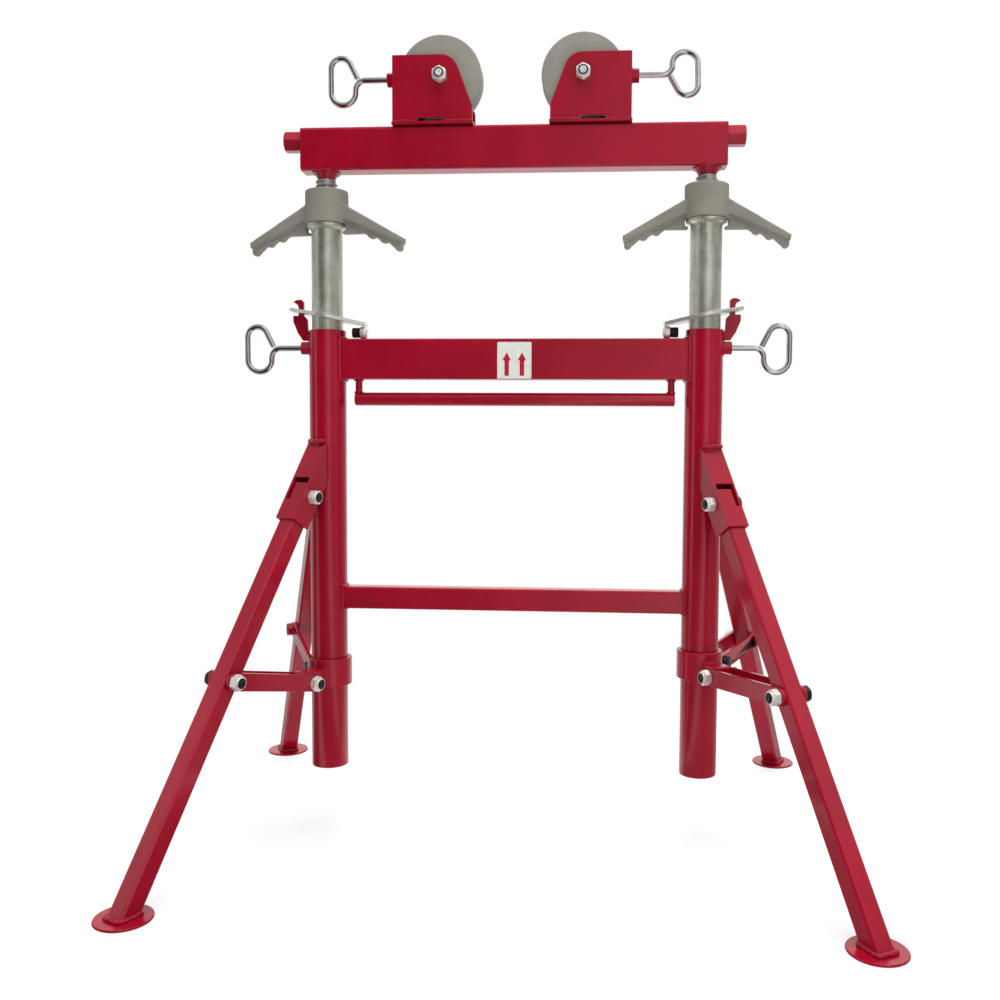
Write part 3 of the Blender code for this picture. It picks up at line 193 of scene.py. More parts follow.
JACK_NUT_TURN = {"left": math.radians(-8), "right": 0.0}

# Rollers and their brackets, measured from the axle
ROLLER_EDGE = 1.8 * MM
BASE_THICK = 3.5 * MM
CHEEK_OUTER = 20.0 * MM
CHEEK_INNER_END = 42.4 * MM
CHEEK_OUTER_END = 62.6 * MM
NOTCH_START = -7.1 * MM
NOTCH_END = 33.9 * MM
WEB_FACE = 63.6 * MM

# Roller beam
BOSS_HEIGHT = 9.5 * MM
BOSS_TOP_REACH = 17.8 * MM
BEAM_CORNER = 5.0 * MM
TRAVERSE_FLATS = 25.0 * MM
TRAVERSE_SHAFT_RADIUS = 8.0 * MM
TRAVERSE_SHAFT_SHORT = 2.0 * MM

# Carrying handle
HANDLE_EDGE = 1.4 * MM
DROP_RADIUS = 4.75 * MM
DROP_INSET = 4.8 * MM
DROP_STEPS = 8
DROP_WELD_SUNK = 0.4 * MM
DROP_WELD_PROUD = 0.5 * MM

# Weld beads
BEAD_STEP = 0.8 * MM
BEAD_RIPPLE = 2.6 * MM
BEAD_SWELL = 9.0 * MM
BEAD_WANDER = 6.0 * MM
BEAD_WANDER_SHARE = 0.22
BEAD_CORE_SHARE = 0.88
BEAD_RIPPLE_SHARE = 0.14
BEAD_SWELL_SHARE = 0.22
BEAD_END_SHARE = 0.5
BAR_BEAD = 3.0 * MM
PLATE_BEAD = 1.5 * MM
FOOT_BEAD = 3.4 * MM
ROLLER_BEAD = 2.0 * MM
BRACKET_TOP_BEAD = 3.6 * MM
LUG_BEAD = 1.2 * MM
LEG_CORNER = 3.5 * MM
LUG_BEAD_STEPS = 8
HOOK_WELD = (1.0 * MM, 10.5 * MM)
HOOK_BEAD_PROUD = 0.6 * MM
BAR_BEAD_STEPS = 10
FOOT_BEAD_RISE = 1.3 * MM
CHEEK_BEAD_PROUD = 0.3 * MM
BOSS_BEAD_SUNK = 0.6 * MM
BOSS_BEAD_RISE = 1.6 * MM
BRACKET_SIDE_SHORT = 1.0 * MM
BRACKET_TOP_STEPS = 12
BRACKET_TOP_INSET = BRACKET_TOP_BEAD * 0.4
BRACKET_TOP_PROUD = 0.8 * MM
BRACKET_TOP_LIFT = 1.6 * MM

# Label on the upper crossbar
LABEL_WIDTH = 45.9 * MM
LABEL_HEIGHT = 49.0 * MM
LABEL_LEFT = -20.7 * MM
LABEL_BOTTOM = 620.6 * MM
LABEL_CORNER = 1.2 * MM
LABEL_THICK = 0.25 * MM
ARROW_THICK = 0.12 * MM
ARROW_SPACING = 20.5 * MM
ARROW_FOOT = 4.0 * MM
ARROW_HEIGHT = 31.0 * MM
ARROW_WIDTH = 11.5 * MM
ARROW_SHAFT = 6.0 * MM
ARROW_HEAD = 10.5 * MM

# Camera and studio
CAMERA_FROM_MIDDLE = 108.2 * MM
CAMERA_Y = -1362.1 * MM
CAMERA_Z = 541.4 * MM
CAMERA_YAW = -0.0691
CAMERA_PITCH = -0.0621
CAMERA_ROLL = 0.0056
CAMERA_LENS = 36.0
CAMERA_SENSOR = 36.0
CAMERA_SHIFT = -0.023
CAMERA_CLIP_END = 50.0
WORLD_FILL = 0.25
NEAR_FLOOR_GLOW = 0.64
FLOOR_SIZE = 9.0
WHITE = (1.0, 1.0, 1.0)

JOINTS = {joint["name"]: joint for joint in frame["joints"]}


def joint_place(name):
    return JOINTS[name]["pos_m"]


def column_x(side_name):
    return joint_place(f"jack_nut_{side_name}_turn")[0]


MIDDLE_X = (column_x("left") + column_x("right")) / 2


# Shader maths

def arithmetic(operation, swapped=False):
    """One operator of a level, or its reflected form."""
    def act(level, other):
        first, second = (other, level) if swapped else (level, other)
        return level.recipe.math(operation, first, second)
    return act


class Level:
    """One socket of a finish. Sums, products and quotients of levels add Math nodes."""

    __add__ = arithmetic("ADD")
    __radd__ = arithmetic("ADD", swapped=True)
    __sub__ = arithmetic("SUBTRACT")
    __rsub__ = arithmetic("SUBTRACT", swapped=True)
    __mul__ = arithmetic("MULTIPLY")
    __rmul__ = arithmetic("MULTIPLY", swapped=True)
    __truediv__ = arithmetic("DIVIDE")
    __rtruediv__ = arithmetic("DIVIDE", swapped=True)

    def __init__(self, recipe, socket):
        self.recipe = recipe
        self.socket = socket


class Recipe:
    """The node tree of one material, or of the world."""

    def __init__(self, owner, place="Object"):
        owner.use_nodes = True
        self.owner = owner
        self.tree = owner.node_tree
        self.shader = self.tree.nodes.get("Principled BSDF")
        self.place = self.node("ShaderNodeTexCoord", outlet=place)

    def node(self, kind, settings=None, inputs=None, outlet=0):
        made = self.tree.nodes.new(kind)
        for key, value in (settings or {}).items():
            setattr(made, key, value)
        for key, value in (inputs or {}).items():
            self.feed(made.inputs[key], value)
        return Level(self, made.outputs[outlet])

    def outlets(self, kind, names, inputs=None):
        """Several outlets of one node."""
        made = self.node(kind, inputs=inputs).socket.node
        return [Level(self, made.outputs[name]) for name in names]

    def feed(self, socket, value):
        if isinstance(value, Level):
            self.tree.links.new(value.socket, socket)
        elif socket.type == "RGBA":
            socket.default_value = (*value, 1.0)
        else:
            socket.default_value = value

    def math(self, operation, first, second=0.0):
        return self.node("ShaderNodeMath", {"operation": operation}, {0: first, 1: second})

    def vector(self, operation, first, second=(0.0, 0.0, 0.0), outlet=0):
        return self.node("ShaderNodeVectorMath", {"operation": operation}, {0: first, 1: second}, outlet)

    def step(self, value, low, high):
        """0 below low, 1 above high, smooth between them."""
        settings = {"interpolation_type": "SMOOTHSTEP"}
        return self.node("ShaderNodeMapRange", settings, {"Value": value, "From Min": low, "From Max": high})

    def colour(self, factor, first, second):
        return self.node("ShaderNodeMix", {"data_type": "RGBA"}, {0: factor, 6: first, 7: second}, 2)

    def clouded(self, cloud, first, second):
        return self.colour(self.step(cloud, 0.3, 0.7), first, second)

    def noise(self, scale, detail=2.0, roughness=0.5, stretch=(1.0, 1.0, 1.0), offset=0.0):
        scales = tuple(scale * part for part in stretch)
        inputs = {"Vector": self.place, "Scale": scales, "Location": (offset, offset, offset)}
        moved = self.node("ShaderNodeMapping", inputs=inputs)
        inputs = {"Vector": moved, "Scale": 1.0, "Detail": detail, "Roughness": roughness}
        return self.node("ShaderNodeTexNoise", inputs=inputs)

    def edge_wear_and_highlight(self, radius):
        """0 on flat metal and towards 1 on its outer edges, where a finish puts wear or a painted highlight.
        """
        rounded = self.node("ShaderNodeBevel", {"samples": 4}, {"Radius": radius})
        true = self.node("ShaderNodeNewGeometry", outlet="Normal")
        agreement = self.vector("DOT_PRODUCT", rounded, true, "Value")
        return self.step(1.0 - agreement, 0.02, 0.25)

    def bump(self, height, distance, strength=0.6):
        inputs = {"Height": height, "Distance": distance, "Strength": strength}
        return self.node("ShaderNodeBump", inputs=inputs)

    def surface(self, fixed, base, gloss, normal=None):
        """Sets the shader's own sockets, and links those that vary."""
        sockets = {**fixed, "Base Color": base, "Roughness": gloss}
        if normal is not None:
            sockets["Normal"] = normal
        for key, value in sockets.items():
            self.feed(self.shader.inputs[key], value)
        return self.owner


# Finishes

MATT = {"Metallic": 0.0, "Specular IOR Level": 0.4}


def new_recipe(name):
    return Recipe(bpy.data.materials.new(name))


def red_enamel(name, texture=1.0):
    """Glossy stoved enamel with a faint orange peel, and paler pink along the edges as a painted highlight of
    the white studio.
    """
    recipe = new_recipe(name)
    cloud = recipe.noise(11.0, 3.0)
    peel = recipe.noise(620.0, 2.0, 0.45)
    grit = recipe.noise(1900.0, 1.0, offset=3.1)
    smear = recipe.noise(75.0, 4.0, 0.6, (1.0, 1.0, 0.4), 7.7)
    edge = recipe.edge_wear_and_highlight(1.1 * MM)
    base = recipe.colour(recipe.step(cloud, 0.35, 0.65), (0.270, 0.0008, 0.0140), (0.315, 0.0012, 0.0175))
    # painted highlight: the rounded edges are mixed towards a pale pink, standing in for the white studio
    # mirrored there
    base = recipe.colour(edge * 0.35, base, (0.44, 0.045, 0.07))
    base = recipe.colour(recipe.step(grit, 0.71, 0.80) * 0.35, base, (0.16, 0.001, 0.01))
    gloss = 0.17 + 0.08 * recipe.step(smear, 0.35, 0.75) + 0.04 * cloud
    normal = recipe.bump(peel * 0.7 + grit * 0.15, 0.09 * MM * texture, 0.8)
    fixed = {"Metallic": 0.0, "Specular IOR Level": 0.36, "Coat Weight": 0.28, "Coat Roughness": 0.05}
    return recipe.surface(fixed, base, gloss, normal)


def zinc_tube(name):
    """Passivated zinc on drawn tube: greenish patches, lengthwise streaks and fine marks around."""
    recipe = new_recipe(name)
    patches = recipe.noise(55.0, 6.0, 0.62, (1.0, 1.0, 0.35))
    streaks = recipe.noise(240.0, 4.0, 0.55, (1.0, 1.0, 0.03), 2.2)
    turning = recipe.noise(1500.0, 2.0, 0.5, (0.02, 0.02, 1.0), 5.0)
    spots = recipe.noise(420.0, 3.0, 0.6, (1.0, 1.0, 0.6), 9.0)
    base = recipe.colour(recipe.step(patches, 0.38, 0.66), (0.58, 0.585, 0.46), (0.84, 0.865, 0.77))
    base = recipe.colour(recipe.step(streaks, 0.45, 0.72) * 0.6, base, (0.95, 0.96, 0.90))
    base = recipe.colour(recipe.step(spots, 0.56, 0.72) * 0.5, base, (0.28, 0.28, 0.22))
    base = recipe.colour(recipe.step(turning, 0.58, 0.72) * 0.45, base, (1.0, 1.0, 0.93))
    gloss = 0.30 + 0.20 * patches + 0.10 * turning
    normal = recipe.bump(turning * 0.6 + spots * 0.4, 0.05 * MM, 0.7)
    return recipe.surface({"Metallic": 0.92}, base, gloss, normal)


def bright_zinc(name, tint, rough, metal=0.8):
    """Clear zinc on pressed plates, nuts and thread."""
    recipe = new_recipe(name)
    cloud = recipe.noise(90.0, 4.0, 0.6)
    marks = recipe.noise(900.0, 2.0, 0.5, (1.0, 0.15, 1.0), 4.0)
    edge = recipe.edge_wear_and_highlight(0.8 * MM)
    base = recipe.clouded(cloud, tuple(0.78 * part for part in tint), tint)
    base = recipe.colour(edge * 0.4, base, (0.88, 0.88, 0.86))
    gloss = rough + 0.14 * cloud + 0.06 * marks
    normal = recipe.bump(marks * 0.5 + cloud * 0.5, 0.03 * MM)
    return recipe.surface({"Metallic": metal}, base, gloss, normal)


def chrome_wire(name):
    """Nickel-chrome on bent wire, with faint draw lines."""
    recipe = new_recipe(name)
    cloud = recipe.noise(70.0, 3.0)
    lines = recipe.noise(1300.0, 2.0, 0.5, (0.12, 1.0, 1.0), 1.0)
    base = recipe.clouded(cloud, (0.60, 0.585, 0.56), (0.74, 0.73, 0.71))
    gloss = 0.09 + 0.10 * cloud + 0.04 * lines
    return recipe.surface({"Metallic": 1.0}, base, gloss, recipe.bump(lines, 0.012 * MM))


def cast_grey(name):
    """Grey paint over a sand-cast skin."""
    recipe = new_recipe(name)
    skin = recipe.noise(520.0, 5.0, 0.62)
    pits = recipe.noise(190.0, 2.0, 0.5, offset=6.0)
    cloud = recipe.noise(24.0, 3.0, offset=2.0)
    edge = recipe.edge_wear_and_highlight(1.4 * MM)
    base = recipe.clouded(cloud, (0.208, 0.201, 0.167), (0.250, 0.242, 0.203))
    base = recipe.colour(recipe.step(skin, 0.60, 0.80) * 0.35, base, (0.155, 0.150, 0.125))
    base = recipe.colour(edge * 0.25, base, (0.33, 0.32, 0.28))
    normal = recipe.bump(skin * 0.7 + pits * 0.3, 0.16 * MM, 0.9)
    return recipe.surface(MATT, base, 0.52 + 0.16 * skin, normal)


def roller_grey(name, axle):
    """The rollers' matt grey, with faint turning marks around the axle and darker along the rim."""
    recipe = new_recipe(name)
    arm = recipe.vector("SUBTRACT", recipe.place, tuple(axle))
    flat_arm = recipe.vector("MULTIPLY", arm, (1.0, 0.0, 1.0))
    reach = recipe.vector("LENGTH", flat_arm, outlet="Value")
    rings = recipe.math("SINE", reach * (math.tau / (0.9 * MM)))
    skin = recipe.noise(800.0, 3.0, 0.55)
    cloud = recipe.noise(30.0, 3.0, offset=4.0)
    edge = recipe.edge_wear_and_highlight(1.2 * MM)
    base = recipe.clouded(cloud, (0.236, 0.228, 0.194), (0.266, 0.257, 0.221))
    base = recipe.colour(recipe.step(skin, 0.62, 0.80) * 0.3, base, (0.185, 0.178, 0.152))
    # darker towards the rounded rim
    base = recipe.colour(edge * 0.35, base, (0.15, 0.145, 0.125))
    normal = recipe.bump(skin * 0.8 + rings * 0.10, 0.06 * MM, 0.8)
    return recipe.surface(MATT, base, 0.50 + 0.14 * skin, normal)


def black_oxide(name):
    """Blackened bolt steel with rubbed corners."""
    recipe = new_recipe(name)
    cloud = recipe.noise(260.0, 3.0)
    edge = recipe.edge_wear_and_highlight(0.7 * MM)
    base = recipe.clouded(cloud, (0.006, 0.006, 0.007), (0.014, 0.014, 0.015))
    base = recipe.colour(edge * 0.4, base, (0.08, 0.08, 0.08))
    return recipe.surface({"Metallic": 0.2}, base, 0.30 + 0.16 * cloud, recipe.bump(cloud, 0.04 * MM))


def black_nylon(name):
    """The dark ring inside a lock nut's crown."""
    recipe = new_recipe(name)
    cloud = recipe.noise(700.0, 2.0)
    base = recipe.colour(cloud, (0.003, 0.004, 0.005), (0.009, 0.011, 0.012))
    return recipe.surface({"Metallic": 0.0}, base, 0.35 + 0.15 * cloud, recipe.bump(cloud, 0.03 * MM))


def label_film(name, light, dark):
    """Printed vinyl with a faint ripple from the enamel under it."""
    recipe = new_recipe(name)
    cloud = recipe.noise(120.0, 4.0)
    fine = recipe.noise(900.0, 2.0, offset=3.0)
    base = recipe.clouded(cloud, dark, light)
    normal = recipe.bump(cloud * 0.6 + fine * 0.4, 0.05 * MM)
    return recipe.surface(MATT, base, 0.38 + 0.12 * cloud, normal)


# Each finish is a material and the frame's slot that it fills
RED = (red_enamel("red_enamel"), "red_paint")
WELD_RED = (red_enamel("red_enamel_on_weld", 2.2), "red_paint")
TUBE_ZINC = (zinc_tube("zinc_on_drawn_tube"), "zinc")
PLATE_ZINC = (bright_zinc("zinc_on_pressed_plate", (0.88, 0.88, 0.84), 0.26), "zinc")
THREAD_ZINC = (bright_zinc("zinc_on_thread", (0.50, 0.49, 0.45), 0.24), "zinc")
TRAVERSE_ZINC = (THREAD_ZINC[0], "red_paint")
BRIGHT_NUT = (bright_zinc("bright_nut_steel", (0.92, 0.91, 0.87), 0.16, 0.55), "bright_steel")
CHROME = (chrome_wire("chromed_wire"), "chrome")
CAST = (cast_grey("grey_cast_iron"), "grey_cast")
BLACK = (black_oxide("black_bolt_steel"), "black_oxide")
NYLON = (black_nylon("black_nylon"), "black_oxide")
FILM = (label_film("label_film", (0.72, 0.73, 0.69), (0.64, 0.65, 0.61)), "label")
PRINT = (label_film("label_print", (0.42, 0.004, 0.022), (0.36, 0.003, 0.018)), "label")


# Mesh makers

def shift(x=0.0, y=0.0, z=0.0):
    return Matrix.Translation((x, y, z))


def turn(angle, axis):
    return Matrix.Rotation(angle, 4, axis)


def from_axes(origin, x_axis, y_axis, z_axis):
    rotation = Matrix((x_axis, y_axis, z_axis)).transposed().to_4x4()
    return Matrix.Translation(origin) @ rotation


def around(count, reach=1.0):
    """Points of a circle, as pairs."""
    angles = [math.tau * step / count for step in range(count)]
    return [(reach * math.cos(angle), reach * math.sin(angle)) for angle in angles]


def add_modifier(obj, name, kind, **settings):
    modifier = obj.modifiers.new(name, kind)
    for key, value in settings.items():
        setattr(modifier, key, value)


def add_piece(name, mesh, finish, body, replaces=(), place=None):
    """Files a finished mesh as a piece that moves with a body."""
    material, slot = finish
    if place is not None:
        mesh.transform(place)
    mesh.name = name
    mesh.materials.clear()
    mesh.materials.append(material)
    mesh.shade_smooth()
    mesh.set_sharp_from_angle(angle=SHARP_ANGLE)
    obj = bpy.data.objects.new(name, mesh)
    bpy.context.scene.collection.objects.link(obj)
    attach(obj, body)
    if replaces:
        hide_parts(*replaces)


def rows_to_bmesh(bm, rows, loop_rows=False):
    """A skin through rows of points, each row closed on itself."""
    made = [[bm.verts.new(point) for point in row] for row in rows]
    count = len(made[0])
    pairs = list(zip(made, made[1:]))
    if loop_rows:
        pairs.append((made[-1], made[0]))
    for first, second in pairs:
        for index in range(count):
            after = (index + 1) % count
            bm.faces.new((first[index], first[after], second[after], second[index]))
    if not loop_rows:
        bm.faces.new(list(reversed(made[0])))
        bm.faces.new(made[-1])
    return bm


def closed_mesh(bm):
    bmesh.ops.recalc_face_normals(bm, faces=bm.faces)
    mesh = bpy.data.meshes.new("piece")
    bm.to_mesh(mesh)
    bm.free()
    return mesh


def rows_mesh(rows, loop_rows=False):
    return closed_mesh(rows_to_bmesh(bmesh.new(), rows, loop_rows))


def softened(profile, reach, loop=True, steps=3):
    """The outline with each corner turned into a short curve."""
    points = [Vector(point) for point in profile]
    count = len(points)
    result = []
    for index, here in enumerate(points):
        if not loop and index in (0, count - 1):
            result.append(tuple(here))
            continue
        before = points[index - 1] - here
        after = points[(index + 1) % count] - here
        near = here + before * min(reach / before.length, CORNER_LIMIT)
        far = here + after * min(reach / after.length, CORNER_LIMIT)
        for step in range(steps + 1):
            share = step / steps
            curve = near * (1 - share) ** 2 + here * 2 * share * (1 - share) + far * share ** 2
            result.append(tuple(curve))
    return result


def profile_rows(profile, facets):
    """Rows around Z from (radius, height) points."""
    return [[(x, y, height) for x, y in around(facets, radius)] for radius, height in profile]


def turned(profile, facets=TUBE_FACETS, hollow=True):
    """A solid of revolution about Z."""
    return rows_mesh(profile_rows(profile, facets), loop_rows=hollow)


def hex_reach(angle, flats):
    """Distance from the axis to a hexagon's side, with its corners eased."""
    corner = (angle + math.pi / 6) % (math.pi / 3) - math.pi / 6
    return min(flats / 2 / math.cos(corner), flats / 2 * HEX_CORNER)


def hex_rows(flats, start, end, chamfer_start=True, chamfer_end=True):
    """Rows of a six-sided body along Z whose corners are chamfered by a cone."""
    apothem = flats / 2
    slope = math.tan(HEX_CHAMFER_ANGLE)
    inner = around(NUT_FACETS, apothem * HEX_FACE)
    reaches = [hex_reach(math.tau * step / NUT_FACETS, flats) for step in range(NUT_FACETS)]
    rim = [(r * x, r * y) for r, (x, y) in zip(reaches, around(NUT_FACETS))]
    drops = [(r - apothem * HEX_CHAMFER_START) * slope for r in reaches]
    low = [start + (drop if chamfer_start else 0.0) for drop in drops]
    high = [end - (drop if chamfer_end else 0.0) for drop in drops]
    return [
        [(x, y, start) for x, y in inner],
        [(x, y, z) for (x, y), z in zip(rim, low)],
        [(x, y, z) for (x, y), z in zip(rim, high)],
        [(x, y, end) for x, y in inner],
    ]


def swept(points, radii, facets, loop=False, end_round=0.0):
    """A round bar along points, with one radius at each."""
    points = [Vector(point) for point in points]
    count = len(points)
    rows = []
    side = None
    for index, here in enumerate(points):
        before = points[index - 1] if loop or index else here
        after = points[(index + 1) % count] if loop or index < count - 1 else here
        along = (after - before).normalized()
        if side is None:
            side = along.orthogonal().normalized()
        side = (side - along * side.dot(along)).normalized()
        other = along.cross(side)
        rows.append([here + side * x + other * y for x, y in around(facets, radii[index])])
    if end_round:
        rows = eased_ends(rows, points, end_round)
    return rows_mesh(rows, loop_rows=loop)


def eased_ends(rows, points, ease):
    """Chamfers both ends of a swept bar without making it longer."""
    result = list(rows)
    for end, inner in ((0, 1), (-1, -2)):
        along = (points[end] - points[inner]).normalized()
        rim = rows[end]
        radius = (rim[0] - points[end]).length
        shrink = (radius - ease) / radius
        tip = [points[end] + (point - points[end]) * shrink for point in rim]
        result[end] = [point - along * ease for point in rim]
        if end == 0:
            result.insert(0, tip)
        else:
            result.append(tip)
    return result


def resampled(points, step, loop=False):
    """Points at even steps along a path."""
    points = [Vector(point) for point in points]
    if loop:
        points.append(points[0])
    result = [points[0]]
    left = step
    for first, second in zip(points, points[1:]):
        length = (second - first).length
        place = left
        while place <= length:
            result.append(first.lerp(second, place / length))
            place += step
        left = place - length
    if loop and (result[-1] - result[0]).length < step / 2:
        result.pop()
    return result


def bead(name, path, body, radius=PLATE_BEAD, loop=False):
    """A painted weld bead with the ripples of its passes."""
    draw = random.Random(name)
    seed = draw.uniform(0, 50)
    placed = []
    radii = []
    for index, point in enumerate(resampled(path, BEAD_STEP, loop)):
        along = index * BEAD_STEP
        ripple = abs(math.sin(math.pi * along / BEAD_RIPPLE + seed))
        swell = noise.noise(Vector((along / BEAD_SWELL, seed, 0)))
        drift = Vector([noise.noise(Vector((along / BEAD_WANDER, seed, axis + 3))) for axis in range(3)])
        placed.append(point + drift * radius * BEAD_WANDER_SHARE)
        radii.append(radius * (BEAD_CORE_SHARE + BEAD_RIPPLE_SHARE * ripple + BEAD_SWELL_SHARE * swell))
    if not loop:
        radii[0] *= BEAD_END_SHARE
        radii[-1] *= BEAD_END_SHARE
    add_piece(name, swept(placed, radii, BEAD_FACETS, loop=loop), WELD_RED, body)


def slab_bmesh(bm, outline, thickness, taper=None):
    """A flat plate in the XZ plane from one outline; taper gives its width along X."""
    rows = []
    for sign in (-1, 1):
        row = []
        for across, up in outline:
            half = (thickness if taper is None else taper(across)) / 2
            row.append((across, sign * half, up))
        rows.append(row)
    return rows_to_bmesh(bm, rows)


def arc(centre, radius, start, end, steps):
    angles = [start + (end - start) * step / steps for step in range(steps + 1)]
    return [(centre[0] + radius * math.cos(a), centre[1] + radius * math.sin(a)) for a in angles]


def dress(node, finish, edge=PRESSED_EDGE):
    """Keeps a frame node's shape, rounds its edges in place and gives it a finish."""
    material, slot = finish
    obj = frame["nodes"][node]
    mesh = obj.data
    if "custom_normal" in mesh.attributes:
        mesh.attributes.remove(mesh.attributes["custom_normal"])
    mesh.materials.clear()
    mesh.materials.append(material)
    mesh.shade_smooth()
    add_modifier(obj, "joined_faces", "WELD", merge_threshold=JOIN_GAP)
    add_modifier(obj, "flat_faces", "DECIMATE", decimate_type="DISSOLVE", angle_limit=FLAT_ANGLE)
    rounding = {"width": edge, "segments": EDGE_SEGMENTS, "limit_method": "ANGLE", "angle_limit": EDGE_ANGLE}
    add_modifier(obj, "rounded_edges", "BEVEL", use_clamp_overlap=False, harden_normals=False, **rounding)
    add_modifier(obj, "evened_shading", "WEIGHTED_NORMAL", weight=SHADING_WEIGHT, keep_sharp=False)


# Frames of the legs, links and columns

def radial_direction(side_name, pivot):
    return Vector((pivot[0] - column_x(side_name), pivot[1], 0)).normalized()


def leg_frame(side_name, face_name):
    """X away from the column, Y the pivot axis, Z up the leg."""
    node = f"leg_{side_name}_{face_name}"
    pivot = Vector(joint_place(f"{node}_fold"))
    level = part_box(node)[0].z + SOLE_SKIN
    sole = [vertex.co for vertex in frame["nodes"][node].data.vertices if vertex.co.z < level]
    middle = [(min(p[axis] for p in sole) + max(p[axis] for p in sole)) / 2 for axis in (0, 1)]
    foot = Vector((*middle, FOOT_THICK))
    up_leg = (pivot - foot).normalized()
    across = UP.cross(radial_direction(side_name, pivot)).normalized()
    return from_axes(pivot, across.cross(up_leg), across, up_leg), foot


def link_frame(side_name, face_name):
    """Origin on the collar's pivot, X along the link, Y the pivot axis."""
    pivot = Vector(joint_place(f"link_{side_name}_{face_name}_swing"))
    across = UP.cross(radial_direction(side_name, pivot)).normalized()
    low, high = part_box(f"link_nut_{side_name}_{face_name}")
    arm = (low + high) / 2 - pivot
    arm = arm - across * arm.dot(across)
    along = arm.normalized()
    return from_axes(pivot, along, across, along.cross(across)), arm.length


def inward_sign(side_name, frame_matrix):
    """Which way along the pivot axis the stand's middle lies."""
    towards_middle = Vector((-SIDES[side_name], 0, 0))
    return 1 if frame_matrix.col[1].to_3d().dot(towards_middle) > 0 else -1


def side_place(side_name, x, z=0.0):
    """A frame whose X axis points to the stand's outside."""
    return shift(x=x, z=z) @ turn(math.pi if SIDES[side_name] < 0 else 0.0, "Z")


def column_radius(side_name):
    return -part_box(f"column_{side_name}")[0].y


def reach_from_column(side_name, node):
    """The nearest and the farthest that a node lies sideways of the column's axis."""
    return sorted(abs(corner.x - column_x(side_name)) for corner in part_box(node))


def roller_form(side_name):
    """Centre, radius and half width of a roller."""
    low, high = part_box(f"roller_{side_name}")
    return (low + high) / 2, (high.z - low.z) / 2, (high.y - low.y) / 2


# Bolts and nuts

def nut_and_bolt(name, place, half_grip, inward, body, node, finish=BLACK):
    """A lock nut with its nylon ring on the inner side, the bolt's end in it and the head outside."""
    along = place @ turn(math.radians(-90 * inward), "X")
    seat = half_grip + FIT
    hexagon_end = seat + LOCK_NUT_HEX
    crown_top = hexagon_end + LOCK_NUT_CROWN
    bm = rows_to_bmesh(bmesh.new(), hex_rows(BOLT_FLATS, seat, hexagon_end))
    crown = [
        (CROWN_OPENING / 2, hexagon_end - FIT),
        (CROWN_OD / 2, hexagon_end - FIT),
        (CROWN_OD / 2, crown_top - CROWN_EDGE),
        (CROWN_OD / 2 - CROWN_EDGE, crown_top),
        (CROWN_OPENING / 2, crown_top),
    ]
    rows_to_bmesh(bm, profile_rows(softened(crown, CROWN_EASE), NUT_FACETS), loop_rows=True)
    add_piece(f"{name}_nut", closed_mesh(bm), BRIGHT_NUT, body, place=along)
    top = crown_top - NYLON_BELOW_CROWN
    foot = top - NYLON_THICK
    rim = CROWN_OPENING / 2 + FIT
    ring = [(NYLON_BORE_RADIUS, foot), (rim, foot), (rim, top), (NYLON_BORE_RADIUS, top)]
    add_piece(f"{name}_nylon_ring", turned(ring, NUT_FACETS), NYLON, body, place=along)
    end = crown_top + BOLT_PROUD - FIT
    shank = [
        (BOLT_CENTRE, end - BOLT_END_DISH),
        (BOLT_END_RADIUS - BOLT_END_DISH_EDGE, end),
        (BOLT_END_RADIUS - BOLT_END_CHAMFER, end),
        (BOLT_END_RADIUS, end - BOLT_END_CHAMFER),
        (BOLT_END_RADIUS, -seat),
        (BOLT_CENTRE, -seat),
    ]
    add_piece(f"{name}_bolt_end", turned(shank, NUT_FACETS, hollow=False), finish, body, place=along)
    rows = hex_rows(BOLT_FLATS, -seat - BOLT_HEAD, -seat, chamfer_end=False)
    add_piece(f"{name}_head", rows_mesh(rows), finish, body, (node,), along)


def leg_bolts(side_name, face_name):
    place, _ = leg_frame(side_name, face_name)
    grip = LEG_WIDTH / 2 + FIT + BRACKET_WALL
    name = f"leg_bolt_{side_name}_{face_name}"
    nut_and_bolt(f"{name}_dressed", place, grip, inward_sign(side_name, place), "stand", name)


def link_bolts(side_name, face_name):
    """The bolts at the collar's end and at the leg's end of a pair of links."""
    place, length = link_frame(side_name, face_name)
    inward = inward_sign(side_name, place)
    grip = LEG_WIDTH / 2 + FIT + LINK_THICK
    key = f"{side_name}_{face_name}"
    bolt = f"collar_bolt_{key}"
    nut_and_bolt(f"{bolt}_dressed", place, grip, inward, f"collar_{side_name}", bolt)
    end_place = place @ shift(x=length)
    nut_and_bolt(f"link_{key}_dressed", end_place, grip, inward, f"link_{key}", f"link_nut_{key}")


def dress_axle(side_name):
    node = f"roller_axle_{side_name}"
    place = shift(*roller_form(side_name)[0])
    nut_and_bolt(f"{node}_dressed", place, CHEEK_OUTER, -1, f"carriage_{side_name}", node, BRIGHT_NUT)


def dress_stop_bolt(side_name):
    """A black nut and a bright domed head lying on the crossbar."""
    node = f"stop_bolt_{side_name}"
    low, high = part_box(node)
    middle = (low + high) / 2
    radius = (high.z - low.z) / 2
    place = side_place(side_name, column_x(side_name), middle.z) @ turn(QUARTER_TURN, "Y")
    near, far = reach_from_column(side_name, node)
    head = [(BOLT_CENTRE, 0.0)] + [(radius * share, rise) for share, rise in STOP_DOME]
    head += [
        (radius, STOP_HEAD_LENGTH - STOP_HEAD_EDGE),
        (radius - STOP_HEAD_EDGE, STOP_HEAD_LENGTH),
        (BOLT_CENTRE, STOP_HEAD_LENGTH),
    ]
    profile = softened([(r, z - far) for r, z in head], STOP_HEAD_EDGE, loop=False)
    add_piece(f"{node}_head", turned(profile, NUT_FACETS, hollow=False), BRIGHT_NUT, "stand", (node,), place)
    rows = hex_rows(STOP_NUT_FLATS, STOP_HEAD_LENGTH - far - FIT, -near)
    add_piece(f"{node}_nut", rows_mesh(rows), BLACK, "stand", place=place)


# Round pieces

